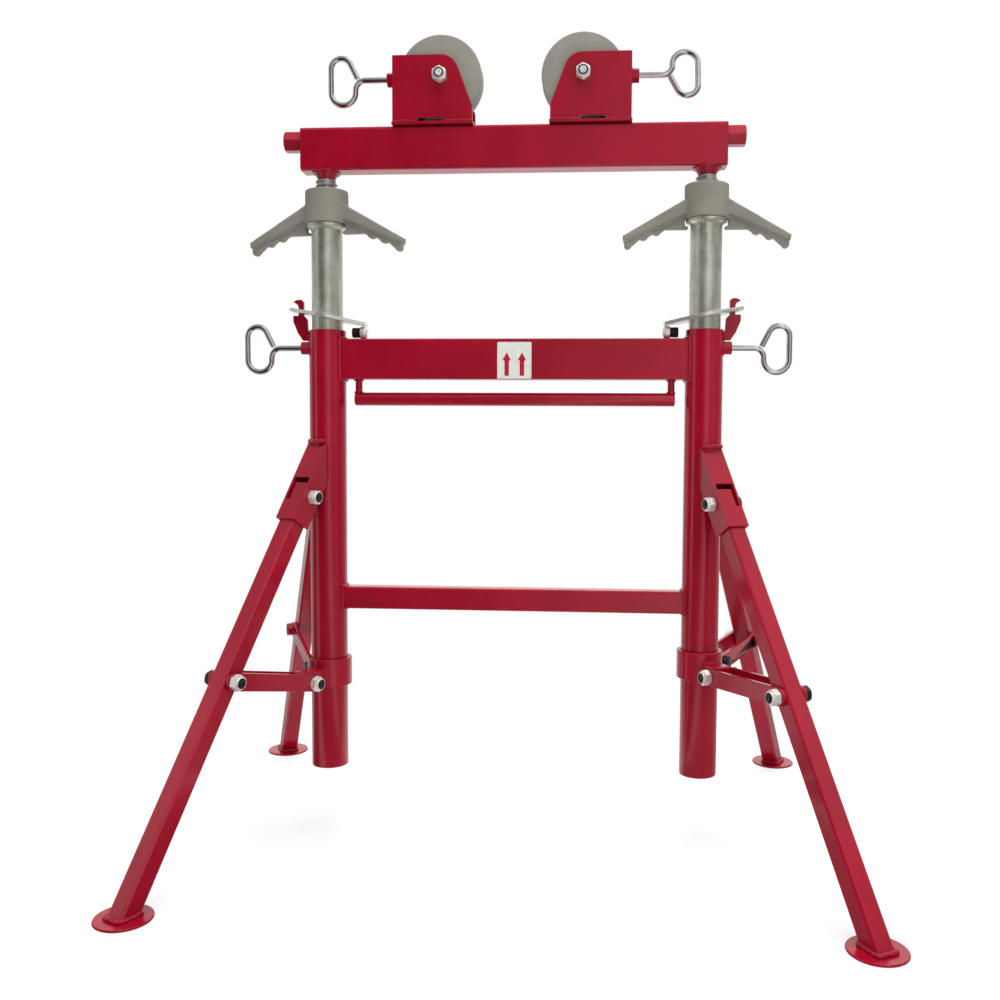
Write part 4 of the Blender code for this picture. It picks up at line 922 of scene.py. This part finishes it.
def dress_column(side_name):
    node = f"column_{side_name}"
    low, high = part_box(node)
    axis = column_x(side_name)
    radius = -low.y
    bore = radius - COLUMN_WALL
    profile = [(radius, high.z), (radius, low.z), (bore, low.z), (bore, high.z)]
    add_piece(f"{node}_tube", turned(softened(profile, COLUMN_EDGE)), RED, "stand", (node,), shift(x=axis))
    outward = side_place(side_name, axis, LOCK_HEIGHT)
    boss_end = reach_from_column(side_name, node)[1]
    rows = hex_rows(WELD_NUT_FLATS, radius - WELD_NUT_SUNK, boss_end, chamfer_start=False)
    add_piece(f"{node}_boss", rows_mesh(rows), RED, "stand", place=outward @ turn(QUARTER_TURN, "Y"))
    ring = around(NUT_RING_POINTS, WELD_NUT_BEAD_REACH)
    ring = [outward @ Vector((math.sqrt(radius ** 2 - y ** 2), y, z)) for y, z in ring]
    bead(f"{node}_boss_bead", ring, "stand", loop=True)


def dress_inner_tube(side_name):
    node = f"inner_tube_{side_name}"
    low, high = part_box(node)
    ring = high.y
    tube = INNER_OD / 2
    bore = tube - COLUMN_WALL
    lip = high.z - RING_LIP
    profile = [
        (ring - RING_TOP_EASE, high.z),
        (ring, high.z - RING_EDGE),
        (ring, lip),
        (tube + RING_KNEE_REACH * (ring - tube), lip - RING_KNEE_DROP * (RING_HEIGHT - RING_LIP)),
        (tube, high.z - RING_HEIGHT),
        (tube, low.z),
        (bore, low.z),
        (bore, high.z),
    ]
    place = shift(x=column_x(side_name))
    add_piece(f"{node}_drawn", turned(softened(profile, SAWN_EDGE)), TUBE_ZINC, "mast", (node,), place)


def dress_jack_screw(side_name):
    """A core and one helical ridge, so that the thread is a real form."""
    node = f"jack_screw_{side_name}"
    low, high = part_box(node)
    crest = high.y
    root = crest - THREAD_DEPTH
    shoulder = high.z - SPIGOT_LENGTH
    core = [
        (TURNED_CENTRE, high.z),
        (SPIGOT_OD / 2, high.z),
        (SPIGOT_OD / 2, shoulder),
        (root, shoulder),
        (root, low.z),
        (TURNED_CENTRE, low.z),
    ]
    bm = rows_to_bmesh(bmesh.new(), profile_rows(softened(core, SCREW_EDGE, loop=False), TUBE_FACETS))
    half_root = THREAD_PITCH * THREAD_ROOT_SHARE
    half_crest = THREAD_PITCH * THREAD_CREST_SHARE
    flank = [(root - THREAD_SUNK, half_root), (crest - THREAD_EASE, half_crest)]
    section = [(r, -up) for r, up in flank] + [(crest, 0.0)] + flank[::-1]
    turns = (shoulder - low.z - 2 * half_root) / THREAD_PITCH
    rows = []
    for step in range(int(turns * THREAD_FACETS) + 1):
        angle = math.tau * step / THREAD_FACETS
        height = low.z + half_root + THREAD_PITCH * step / THREAD_FACETS
        rows.append([(r * math.cos(angle), r * math.sin(angle), height + up) for r, up in section])
    rows_to_bmesh(bm, rows)
    add_piece(f"{node}_threaded", closed_mesh(bm), THREAD_ZINC, "beam", (node,), shift(x=column_x(side_name)))


def rib_outline():
    """The rib under an arm, with its finger lobes."""
    outline = [
        (RIB_START, FLANGE_ROOT_BOTTOM + RIB_SUNK),
        (RIB_START, -RIB_STEP_DROP),
        (RIB_NEAR_TUBE, -RIB_STEP_DROP),
        (RIB_NEAR_TUBE, -RIB_FLAT_DROP),
        (RIB_FLAT_END, -RIB_FLAT_DROP),
    ]
    for lobe in LOBES:
        reach, drop, radius = lobe
        last = math.tau if lobe is LOBES[-1] else LOBE_END
        outline += arc((reach, -drop), radius, LOBE_START, last, LOBE_STEPS)
    outline.append((RIB_END, FLANGE_TIP_BOTTOM + RIB_SUNK))
    return outline


def flange_width(across):
    narrowing = (FLANGE_TIP_WIDTH - FLANGE_ROOT_WIDTH) / (ARM_REACH - ARM_ROOT)
    return FLANGE_ROOT_WIDTH + narrowing * (abs(across) - ARM_ROOT)


def dress_jack_nut(side_name):
    """A hub with two winged arms, run together and eased as a casting is."""
    node = f"jack_nut_{side_name}"
    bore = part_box(f"jack_screw_{side_name}")[1].y + FIT
    hub = [(HUB_RADIUS, HUB_HEIGHT), (HUB_RADIUS, 0.0), (bore, 0.0), (bore, HUB_HEIGHT)]
    bm = rows_to_bmesh(bmesh.new(), profile_rows(hub, TUBE_FACETS), loop_rows=True)
    flange = [
        (ARM_ROOT, FLANGE_ROOT_BOTTOM),
        (FLANGE_TIP_REACH, FLANGE_TIP_BOTTOM),
        (ARM_REACH, FLANGE_TIP_TOP),
        (ARM_ROOT, FLANGE_ROOT_TOP),
    ]
    for sign in (-1, 1):
        slab_bmesh(bm, [(sign * x, z) for x, z in flange], 0.0, flange_width)
        slab_bmesh(bm, [(sign * x, z) for x, z in rib_outline()], RIB_THICK)
    obj = bpy.data.objects.new(f"{node}_form", closed_mesh(bm))
    bpy.context.scene.collection.objects.link(obj)
    add_modifier(obj, "run_together", "REMESH", mode="VOXEL", voxel_size=CAST_VOXEL)
    add_modifier(obj, "eased", "SMOOTH", iterations=CAST_SMOOTHING, factor=CAST_SMOOTHING_SHARE)
    bpy.context.view_layer.update()
    cast = bpy.data.meshes.new_from_object(obj.evaluated_get(bpy.context.evaluated_depsgraph_get()))
    bpy.data.objects.remove(obj)
    place = shift(x=column_x(side_name), z=joint_place(f"{node}_turn")[2])
    place = place @ turn(JACK_NUT_TURN[side_name], "Z")
    add_piece(f"{node}_cast", cast, CAST, node, (node,), place)


def dress_roller(side_name):
    node = f"roller_{side_name}"
    middle, radius, half = roller_form(side_name)
    bore = BOLT_OD / 2 + FIT
    profile = softened([(radius, half), (radius, -half), (bore, -half), (bore, half)], ROLLER_EDGE, steps=5)
    finish = (roller_grey(f"grey_roller_{side_name}", middle), "grey_cast")
    place = shift(*middle) @ turn(QUARTER_TURN, "X")
    add_piece(f"{node}_turned", turned(profile, ROLLER_FACETS), finish, node, (node,), place)


def wire_path(tip, bend_start):
    """A straight shank from its tip, then a loop handle in the XZ plane."""
    near_side = bend_start + WIRE_BEND_RADIUS
    shank_steps = WIRE_STEPS["shank"]
    path = [(tip + (bend_start - tip) * step / shank_steps, 0.0) for step in range(shank_steps)]
    bend = (bend_start, -WIRE_BEND_RADIUS)
    path += reversed(arc(bend, WIRE_BEND_RADIUS, 0, QUARTER_TURN, WIRE_STEPS["bend"]))
    lower = (near_side + LOOP_LOWER_RADIUS, -LOOP_LOWER_DROP)
    path += arc(lower, LOOP_LOWER_RADIUS, math.pi, math.tau, WIRE_STEPS["lower"])
    upper = (near_side + 2 * LOOP_LOWER_RADIUS - LOOP_UPPER_RADIUS, LOOP_UPPER_RISE)
    path += arc(upper, LOOP_UPPER_RADIUS, 0, math.pi - LOOP_TAIL_LEAN, WIRE_STEPS["upper"])
    across, up = path[-1]
    for step in range(1, WIRE_STEPS["tail"] + 1):
        run = LOOP_TAIL_LENGTH * step / WIRE_STEPS["tail"]
        path.append((across - run * math.sin(LOOP_TAIL_LEAN), up - run * math.cos(LOOP_TAIL_LEAN)))
    return [(across, 0.0, up) for across, up in path]


def dress_wire(node, tip, bend_start, place):
    path = [place @ Vector(point) for point in wire_path(tip, bend_start)]
    mesh = swept(path, [WIRE_OD / 2] * len(path), WIRE_FACETS, end_round=WIRE_END)
    add_piece(f"{node}_bent", mesh, CHROME, node, (node,))


def dress_lock_screw(side_name):
    place = side_place(side_name, column_x(side_name), LOCK_HEIGHT)
    dress_wire(f"lock_screw_{side_name}", INNER_OD / 2 + FIT, LOCK_BEND_START, place)


def dress_brake_screw(side_name):
    node = f"brake_screw_{side_name}"
    middle, radius, _ = roller_form(side_name)
    place = side_place(side_name, middle.x, joint_place(f"{node}_turn")[2])
    dress_wire(node, radius + FIT, BRAKE_BEND_START, place @ turn(BRAKE_LOOP_TURN[side_name], "X"))


def dress_traverse_screw():
    """A shaft inside the beam, and a hexagon on each of its ends."""
    node = "traverse_screw"
    low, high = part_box(node)
    beam_low, beam_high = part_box("roller_beam")
    place = shift(*((low + high) / 2)) @ turn(QUARTER_TURN, "Y")
    half = (high.x - low.x) / 2
    inner = (beam_high.x - beam_low.x) / 2 + FIT
    end = half - TRAVERSE_SHAFT_SHORT
    radius = TRAVERSE_SHAFT_RADIUS
    profile = [(TURNED_CENTRE, end), (radius, end), (radius, -end), (TURNED_CENTRE, -end)]
    add_piece(f"{node}_shaft", turned(profile, NUT_FACETS, hollow=False), TRAVERSE_ZINC, node, (node,), place)
    for side_name, side in SIDES.items():
        start, end = sorted((side * inner, side * half))
        mesh = rows_mesh(hex_rows(TRAVERSE_FLATS, start, end, side < 0, side > 0))
        add_piece(f"{node}_hexagon_{side_name}", mesh, RED, node, place=place)


def dress_handle():
    """A round rod, its two drops and the beads at both ends of each."""
    node = "carry_handle"
    low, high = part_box(node)
    radius = high.y
    axis = low.z + radius
    rod = [(TURNED_CENTRE, low.x), (radius, low.x), (radius, high.x), (TURNED_CENTRE, high.x)]
    mesh = turned(softened(rod, HANDLE_EDGE, loop=False), hollow=False)
    add_piece(f"{node}_rod", mesh, RED, "stand", (node,), shift(z=axis) @ turn(QUARTER_TURN, "Y"))
    rings = (
        ("top", high.z - DROP_WELD_SUNK, DROP_RADIUS + DROP_WELD_PROUD),
        ("foot", low.z + 2 * radius, DROP_RADIUS),
    )
    for side_name, x in (("left", low.x + DROP_INSET), ("right", high.x - DROP_INSET)):
        path = [(x, 0, axis + (high.z - axis) * step / DROP_STEPS) for step in range(DROP_STEPS + 1)]
        mesh = swept(path, [DROP_RADIUS] * len(path), WIRE_FACETS)
        add_piece(f"{node}_drop_{side_name}", mesh, RED, "stand")
        for ring_name, height, reach in rings:
            ring = [(x + across, y, height) for across, y in around(DROP_RING_POINTS, reach)]
            bead(f"{node}_{ring_name}_bead_{side_name}", ring, "stand", loop=True)


# Weld beads

def hook_beads(side_name):
    """A bead up each side of a hook plate, where it stands on its column."""
    low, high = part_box(f"hook_plate_{side_name}")
    place = side_place(side_name, column_x(side_name))
    reach = math.sqrt(column_radius(side_name) ** 2 - high.y ** 2) + HOOK_BEAD_PROUD
    for face_name, face in FACES.items():
        path = [place @ Vector((reach, face * high.y, low.z + rise)) for rise in HOOK_WELD]
        bead(f"hook_bead_{side_name}_{face_name}", path, "stand")


def crossbar_beads(node):
    """A bead around each end of a crossbar, on the column's round."""
    low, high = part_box(node)
    across = [high.y * (2 * step / BAR_BEAD_STEPS - 1) for step in range(BAR_BEAD_STEPS + 1)]
    outline = [(y, high.z) for y in across] + [(y, low.z) for y in reversed(across)]
    for side_name, side in SIDES.items():
        radius = column_radius(side_name)
        x = column_x(side_name)
        path = [Vector((x - side * math.sqrt(radius ** 2 - y ** 2), y, z)) for y, z in outline]
        bead(f"{node}_bead_{side_name}", path, "stand", BAR_BEAD, loop=True)


def bracket_beads(side_name, face_name):
    """Beads where a leg bracket's walls run into the column."""
    place, _ = leg_frame(side_name, face_name)
    pivot = place.translation
    x = column_x(side_name)
    radius = column_radius(side_name)
    outward = radial_direction(side_name, pivot)
    across = UP.cross(outward)
    lean = math.acos(place.col[2].z)
    half = LEG_WIDTH / 2 + FIT + BRACKET_WALL
    edge = math.sqrt(radius ** 2 - half ** 2)
    reach = Vector((pivot.x - x, pivot.y, 0)).length
    local_z = (reach - BRACKET_BACK * math.cos(lean) - edge) / math.sin(lean)
    bottom = pivot.z - BRACKET_BACK * math.sin(lean) + local_z * math.cos(lean)
    level = pivot.z + BRACKET_TOP_RISE

    def placed(run):
        return [Vector((x, 0, z)) + across * y + outward * rho for y, rho, z in run]

    name = f"leg_bracket_bead_{side_name}_{face_name}"
    for end_name, sign in (("left", -1), ("right", 1)):
        run = [(sign * half, edge, bottom), (sign * half, edge, level - BRACKET_SIDE_SHORT)]
        bead(f"{name}_{end_name}", placed(run), "stand")
    top = []
    for step in range(BRACKET_TOP_STEPS + 1):
        y = (half - BRACKET_TOP_INSET) * (2 * step / BRACKET_TOP_STEPS - 1)
        top.append((y, math.sqrt(radius ** 2 - y ** 2) + BRACKET_TOP_PROUD, level + BRACKET_TOP_LIFT))
    bead(f"{name}_top", placed(top), "stand", BRACKET_TOP_BEAD)


def foot_bead(side_name, face_name):
    """The broad bead around a leg where it stands on its round foot."""
    place, foot = leg_frame(side_name, face_name)
    outward = radial_direction(side_name, place.translation)
    across = UP.cross(outward)
    half = LEG_WIDTH / 2
    long_half = half / math.cos(math.acos(place.col[2].z))
    corners = [(-long_half, -half), (long_half, -half), (long_half, half), (-long_half, half)]
    path = [foot + outward * a + across * b + UP * FOOT_BEAD_RISE for a, b in softened(corners, LEG_CORNER)]
    key = f"{side_name}_{face_name}"
    bead(f"foot_bead_{key}", path, f"leg_{key}", FOOT_BEAD, loop=True)


def collar_beads(side_name, face_name):
    """Beads around each lug on its collar."""
    pivot = Vector(joint_place(f"link_{side_name}_{face_name}_swing"))
    outward = radial_direction(side_name, pivot)
    across = UP.cross(outward)
    radius = COLLAR_OD / 2
    half = LEG_WIDTH / 2
    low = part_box(f"collar_{side_name}")[0].z + LUG_BEAD
    high = pivot.z + LUG_ABOVE
    centre = Vector((column_x(side_name), 0, 0))
    corners = [(-half, low), (half, low), (half, high), (-half, high)]
    path = []
    for (y, z), (next_y, next_z) in zip(corners, corners[1:] + corners[:1]):
        for step in range(LUG_BEAD_STEPS):
            share = step / LUG_BEAD_STEPS
            y_now = y + (next_y - y) * share
            reach = math.sqrt(radius ** 2 - y_now ** 2)
            path.append(centre + outward * reach + across * y_now + UP * (z + (next_z - z) * share))
    bead(f"collar_bead_{side_name}_{face_name}", path, f"collar_{side_name}", LUG_BEAD, loop=True)


def carriage_beads(side_name):
    """Beads along the foot of each cheek, and around the brake's weld nut."""
    middle = roller_form(side_name)[0]
    body = f"carriage_{side_name}"
    place = side_place(side_name, middle.x, middle.z)
    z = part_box("roller_beam")[1].z + FIT + BASE_THICK - middle.z + CHEEK_BEAD_PROUD
    runs = {"inner": (-CHEEK_INNER_END, NOTCH_START), "outer": (NOTCH_END, CHEEK_OUTER_END)}
    for face_name, face in FACES.items():
        y = face * (CHEEK_OUTER + CHEEK_BEAD_PROUD)
        for run_name, run in runs.items():
            path = [place @ Vector((x, y, z)) for x in run]
            bead(f"cheek_bead_{side_name}_{face_name}_{run_name}", path, body, ROLLER_BEAD)
    height = joint_place(f"brake_screw_{side_name}_turn")[2] - middle.z
    ring = around(NUT_RING_POINTS, WELD_NUT_BEAD_REACH)
    ring = [place @ Vector((WEB_FACE, y, height + up)) for y, up in ring]
    bead(f"brake_nut_bead_{side_name}", ring, body, loop=True)


def beam_beads(side_name):
    """A ring of weld where each screw boss meets the beam."""
    low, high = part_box("roller_beam")
    boss_top = low.z + BOSS_HEIGHT - BOSS_BEAD_SUNK
    ring = []
    for across, depth in around(BOSS_RING_POINTS, BOSS_TOP_REACH):
        y = min(max(depth, -high.y), high.y)
        past = max(abs(y) - (high.y - BEAM_CORNER), 0.0)
        rise = BEAM_CORNER - math.sqrt(BEAM_CORNER ** 2 - past ** 2)
        ring.append((column_x(side_name) + across, y, boss_top + min(rise, BOSS_BEAD_RISE)))
    bead(f"boss_bead_{side_name}", ring, "beam", loop=True)


# Label

def flat_sheet(name, outline, thickness, finish, place):
    """A thin flat sheet with its outline in the XZ plane."""
    mesh = closed_mesh(slab_bmesh(bmesh.new(), outline, thickness))
    add_piece(name, mesh, finish, "stand", place=place)


def dress_label():
    """A plain sheet with two upward arrows."""
    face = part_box("upper_crossbar")[0].y
    left = MIDDLE_X + LABEL_LEFT
    sheet = softened([(0, 0), (LABEL_WIDTH, 0), (LABEL_WIDTH, LABEL_HEIGHT), (0, LABEL_HEIGHT)], LABEL_CORNER)
    flat_sheet("label_sheet", sheet, LABEL_THICK, FILM, shift(left, face - LABEL_THICK / 2, LABEL_BOTTOM))
    half_shaft = ARROW_SHAFT / 2
    half_width = ARROW_WIDTH / 2
    shoulder = ARROW_HEIGHT - ARROW_HEAD
    arrow = [
        (-half_shaft, 0),
        (half_shaft, 0),
        (half_shaft, shoulder),
        (half_width, shoulder),
        (0, ARROW_HEIGHT),
        (-half_width, shoulder),
        (-half_shaft, shoulder),
    ]
    for side_name, side in SIDES.items():
        x = left + LABEL_WIDTH / 2 + side * ARROW_SPACING / 2
        place = shift(x, face - LABEL_THICK - ARROW_THICK / 2, LABEL_BOTTOM + ARROW_FOOT)
        flat_sheet(f"label_arrow_{side_name}", arrow, ARROW_THICK, PRINT, place)


# Pieces in order

for bar in ("upper_crossbar", "lower_crossbar"):
    dress(bar, RED, SAWN_EDGE)
    crossbar_beads(bar)
dress("roller_beam", RED, SAWN_EDGE)
dress_handle()
dress_traverse_screw()
dress_label()

for each_side in SIDES:
    dress_column(each_side)
    hook_beads(each_side)
    dress_inner_tube(each_side)
    dress_jack_screw(each_side)
    dress_jack_nut(each_side)
    dress_roller(each_side)
    dress_axle(each_side)
    dress_lock_screw(each_side)
    dress_brake_screw(each_side)
    dress_stop_bolt(each_side)
    dress(f"hook_plate_{each_side}", RED, FINE_EDGE)
    dress(f"grip_plate_{each_side}", PLATE_ZINC, FINE_EDGE)
    dress(f"roller_bracket_{each_side}", RED)
    dress(f"collar_{each_side}", RED, FINE_EDGE)
    carriage_beads(each_side)
    beam_beads(each_side)
    for each_face in FACES:
        dress(f"leg_bracket_{each_side}_{each_face}", RED)
        dress(f"leg_{each_side}_{each_face}", RED)
        for each_place in ("inner", "outer"):
            dress(f"link_bar_{each_side}_{each_face}_{each_place}", RED, FINE_EDGE)
        leg_bolts(each_side, each_face)
        link_bolts(each_side, each_face)
        bracket_beads(each_side, each_face)
        foot_bead(each_side, each_face)
        collar_beads(each_side, each_face)


# Studio

def band(recipe, value, rise, fall, drop=1.0):
    """1 between two soft edges, and less by the drop past the second."""
    return recipe.step(value, *rise) * (1.0 - drop * recipe.step(value, *fall))


def mirrored_studio(recipe, side, depth, up):
    """What glossy metal mirrors: white behind and above, and in front a broad window and a strip."""
    behind = 0.42 * recipe.step(depth, -0.05, 0.30) + 0.58 * recipe.step(depth, 0.60, 0.92)
    above = recipe.step(up, 0.30, 0.60) * (0.45 + 0.35 * recipe.step(side, -0.20, 0.40))
    window = band(recipe, side, (-0.25, 0.15), (0.20, 0.80), 0.6)
    strip = band(recipe, side, (-0.98, -0.94), (-0.88, -0.82))
    glare = band(recipe, side, (0.10, 0.22), (0.34, 0.50))
    front = 0.03 + 0.50 * window + 0.6 * glare + 0.9 * strip
    return recipe.math("MAXIMUM", front, recipe.math("MAXIMUM", behind, above))


def pale_floor():
    """White to the camera but for the stand's shadow, and in mirrors a part of the studio."""
    recipe = new_recipe("pale_floor")
    base = recipe.colour(recipe.noise(3.0, 3.0), (0.86, 0.86, 0.86), (0.90, 0.90, 0.90))
    recipe.surface({"Metallic": 0.0, "Specular IOR Level": 0.2}, base, 0.9)
    rays = ("Is Camera Ray", "Is Glossy Ray", "Is Transmission Ray")
    seen, mirrored, through = recipe.outlets("ShaderNodeLightPath", rays)
    reach = recipe.vector("LENGTH", recipe.place, outlet="Value")
    across, back = recipe.outlets("ShaderNodeSeparateXYZ", "XY", {"Vector": recipe.place})
    dark = mirrored * (1.0 - mirrored_studio(recipe, across / reach, back / reach, 0.0))
    glow = recipe.node("ShaderNodeEmission", inputs={"Color": WHITE, "Strength": 1.0})
    shade = recipe.node("ShaderNodeEmission", inputs={"Color": WHITE, "Strength": 0.0})
    glow = recipe.node("ShaderNodeMixShader", inputs={0: dark, 1: glow, 2: shade})
    lit = Level(recipe, recipe.shader.outputs[0])
    away = recipe.step(reach, 0.45, 1.5)
    share = seen * (NEAR_FLOOR_GLOW + (1 - NEAR_FLOOR_GLOW) * away) + mirrored + through * 0.8
    mixed = recipe.node("ShaderNodeMixShader", inputs={0: share, 1: lit, 2: glow})
    recipe.feed(recipe.tree.nodes["Material Output"].inputs["Surface"], mixed)
    return recipe.owner


def make_floor():
    bm = bmesh.new()
    bmesh.ops.create_grid(bm, x_segments=2, y_segments=2, size=FLOOR_SIZE)
    mesh = bpy.data.meshes.new("floor")
    bm.to_mesh(mesh)
    bm.free()
    mesh.materials.append(pale_floor())
    floor = bpy.data.objects.new("floor", mesh)
    bpy.context.scene.collection.objects.link(floor)


def make_world():
    """White to the camera, the mirrored studio to glossy metal, and a faint fill."""
    recipe = Recipe(bpy.data.worlds.new("studio"), "Generated")
    bpy.context.scene.world = recipe.owner
    way = recipe.outlets("ShaderNodeSeparateXYZ", "XYZ", {"Vector": recipe.place})
    seen, mirrored = recipe.outlets("ShaderNodeLightPath", ("Is Camera Ray", "Is Glossy Ray"))
    around_object = mirrored * mirrored_studio(recipe, *way) + (1.0 - mirrored) * WORLD_FILL
    background = recipe.tree.nodes["Background"]
    recipe.feed(background.inputs["Color"], WHITE)
    recipe.feed(background.inputs["Strength"], seen + (1.0 - seen) * around_object)


def make_light(name, place, target, width, height, power):
    data = bpy.data.lights.new(name, "AREA")
    data.shape = "RECTANGLE"
    data.size = width
    data.size_y = height
    data.energy = power
    light = bpy.data.objects.new(name, data)
    bpy.context.scene.collection.objects.link(light)
    light.location = place
    light.visible_glossy = False
    light.rotation_mode = "QUATERNION"
    light.rotation_quaternion = (Vector(target) - Vector(place)).to_track_quat("-Z", "Y")


def make_camera():
    data = bpy.data.cameras.new("camera")
    data.sensor_width = CAMERA_SENSOR
    data.lens = CAMERA_LENS
    data.shift_x = CAMERA_SHIFT
    data.clip_end = CAMERA_CLIP_END
    camera = bpy.data.objects.new("camera", data)
    bpy.context.scene.collection.objects.link(camera)
    flat = math.cos(CAMERA_PITCH)
    forward = Vector((math.sin(CAMERA_YAW) * flat, math.cos(CAMERA_YAW) * flat, math.sin(CAMERA_PITCH)))
    level_right = Vector((math.cos(CAMERA_YAW), -math.sin(CAMERA_YAW), 0))
    level_up = level_right.cross(forward)
    right = level_right * math.cos(CAMERA_ROLL) + level_up * math.sin(CAMERA_ROLL)
    up = level_up * math.cos(CAMERA_ROLL) - level_right * math.sin(CAMERA_ROLL)
    place = Vector((MIDDLE_X + CAMERA_FROM_MIDDLE, CAMERA_Y, CAMERA_Z))
    camera.matrix_world = from_axes(place, right, up, -forward)
    bpy.context.scene.camera = camera


make_floor()
make_world()
make_light("top_box", (0.1, -0.7, 2.9), (0.0, 0.0, 0.5), 2.4, 2.0, 66.0)
make_light("rear_box", (0.1, 0.8, 2.9), (0.0, 0.1, 0.3), 2.4, 1.4, 80.0)
make_light("left_box", (-2.0, -1.0, 1.2), (0.0, 0.0, 0.55), 1.2, 2.0, 3.0)
make_light("right_box", (2.0, -1.2, 1.2), (0.0, 0.0, 0.55), 1.2, 2.0, 15.0)
make_light("front_box", (0.7, -2.6, 1.4), (0.0, 0.0, 0.55), 1.4, 1.4, 4.0)
make_camera()
bpy.context.scene.view_settings.view_transform = "Standard"
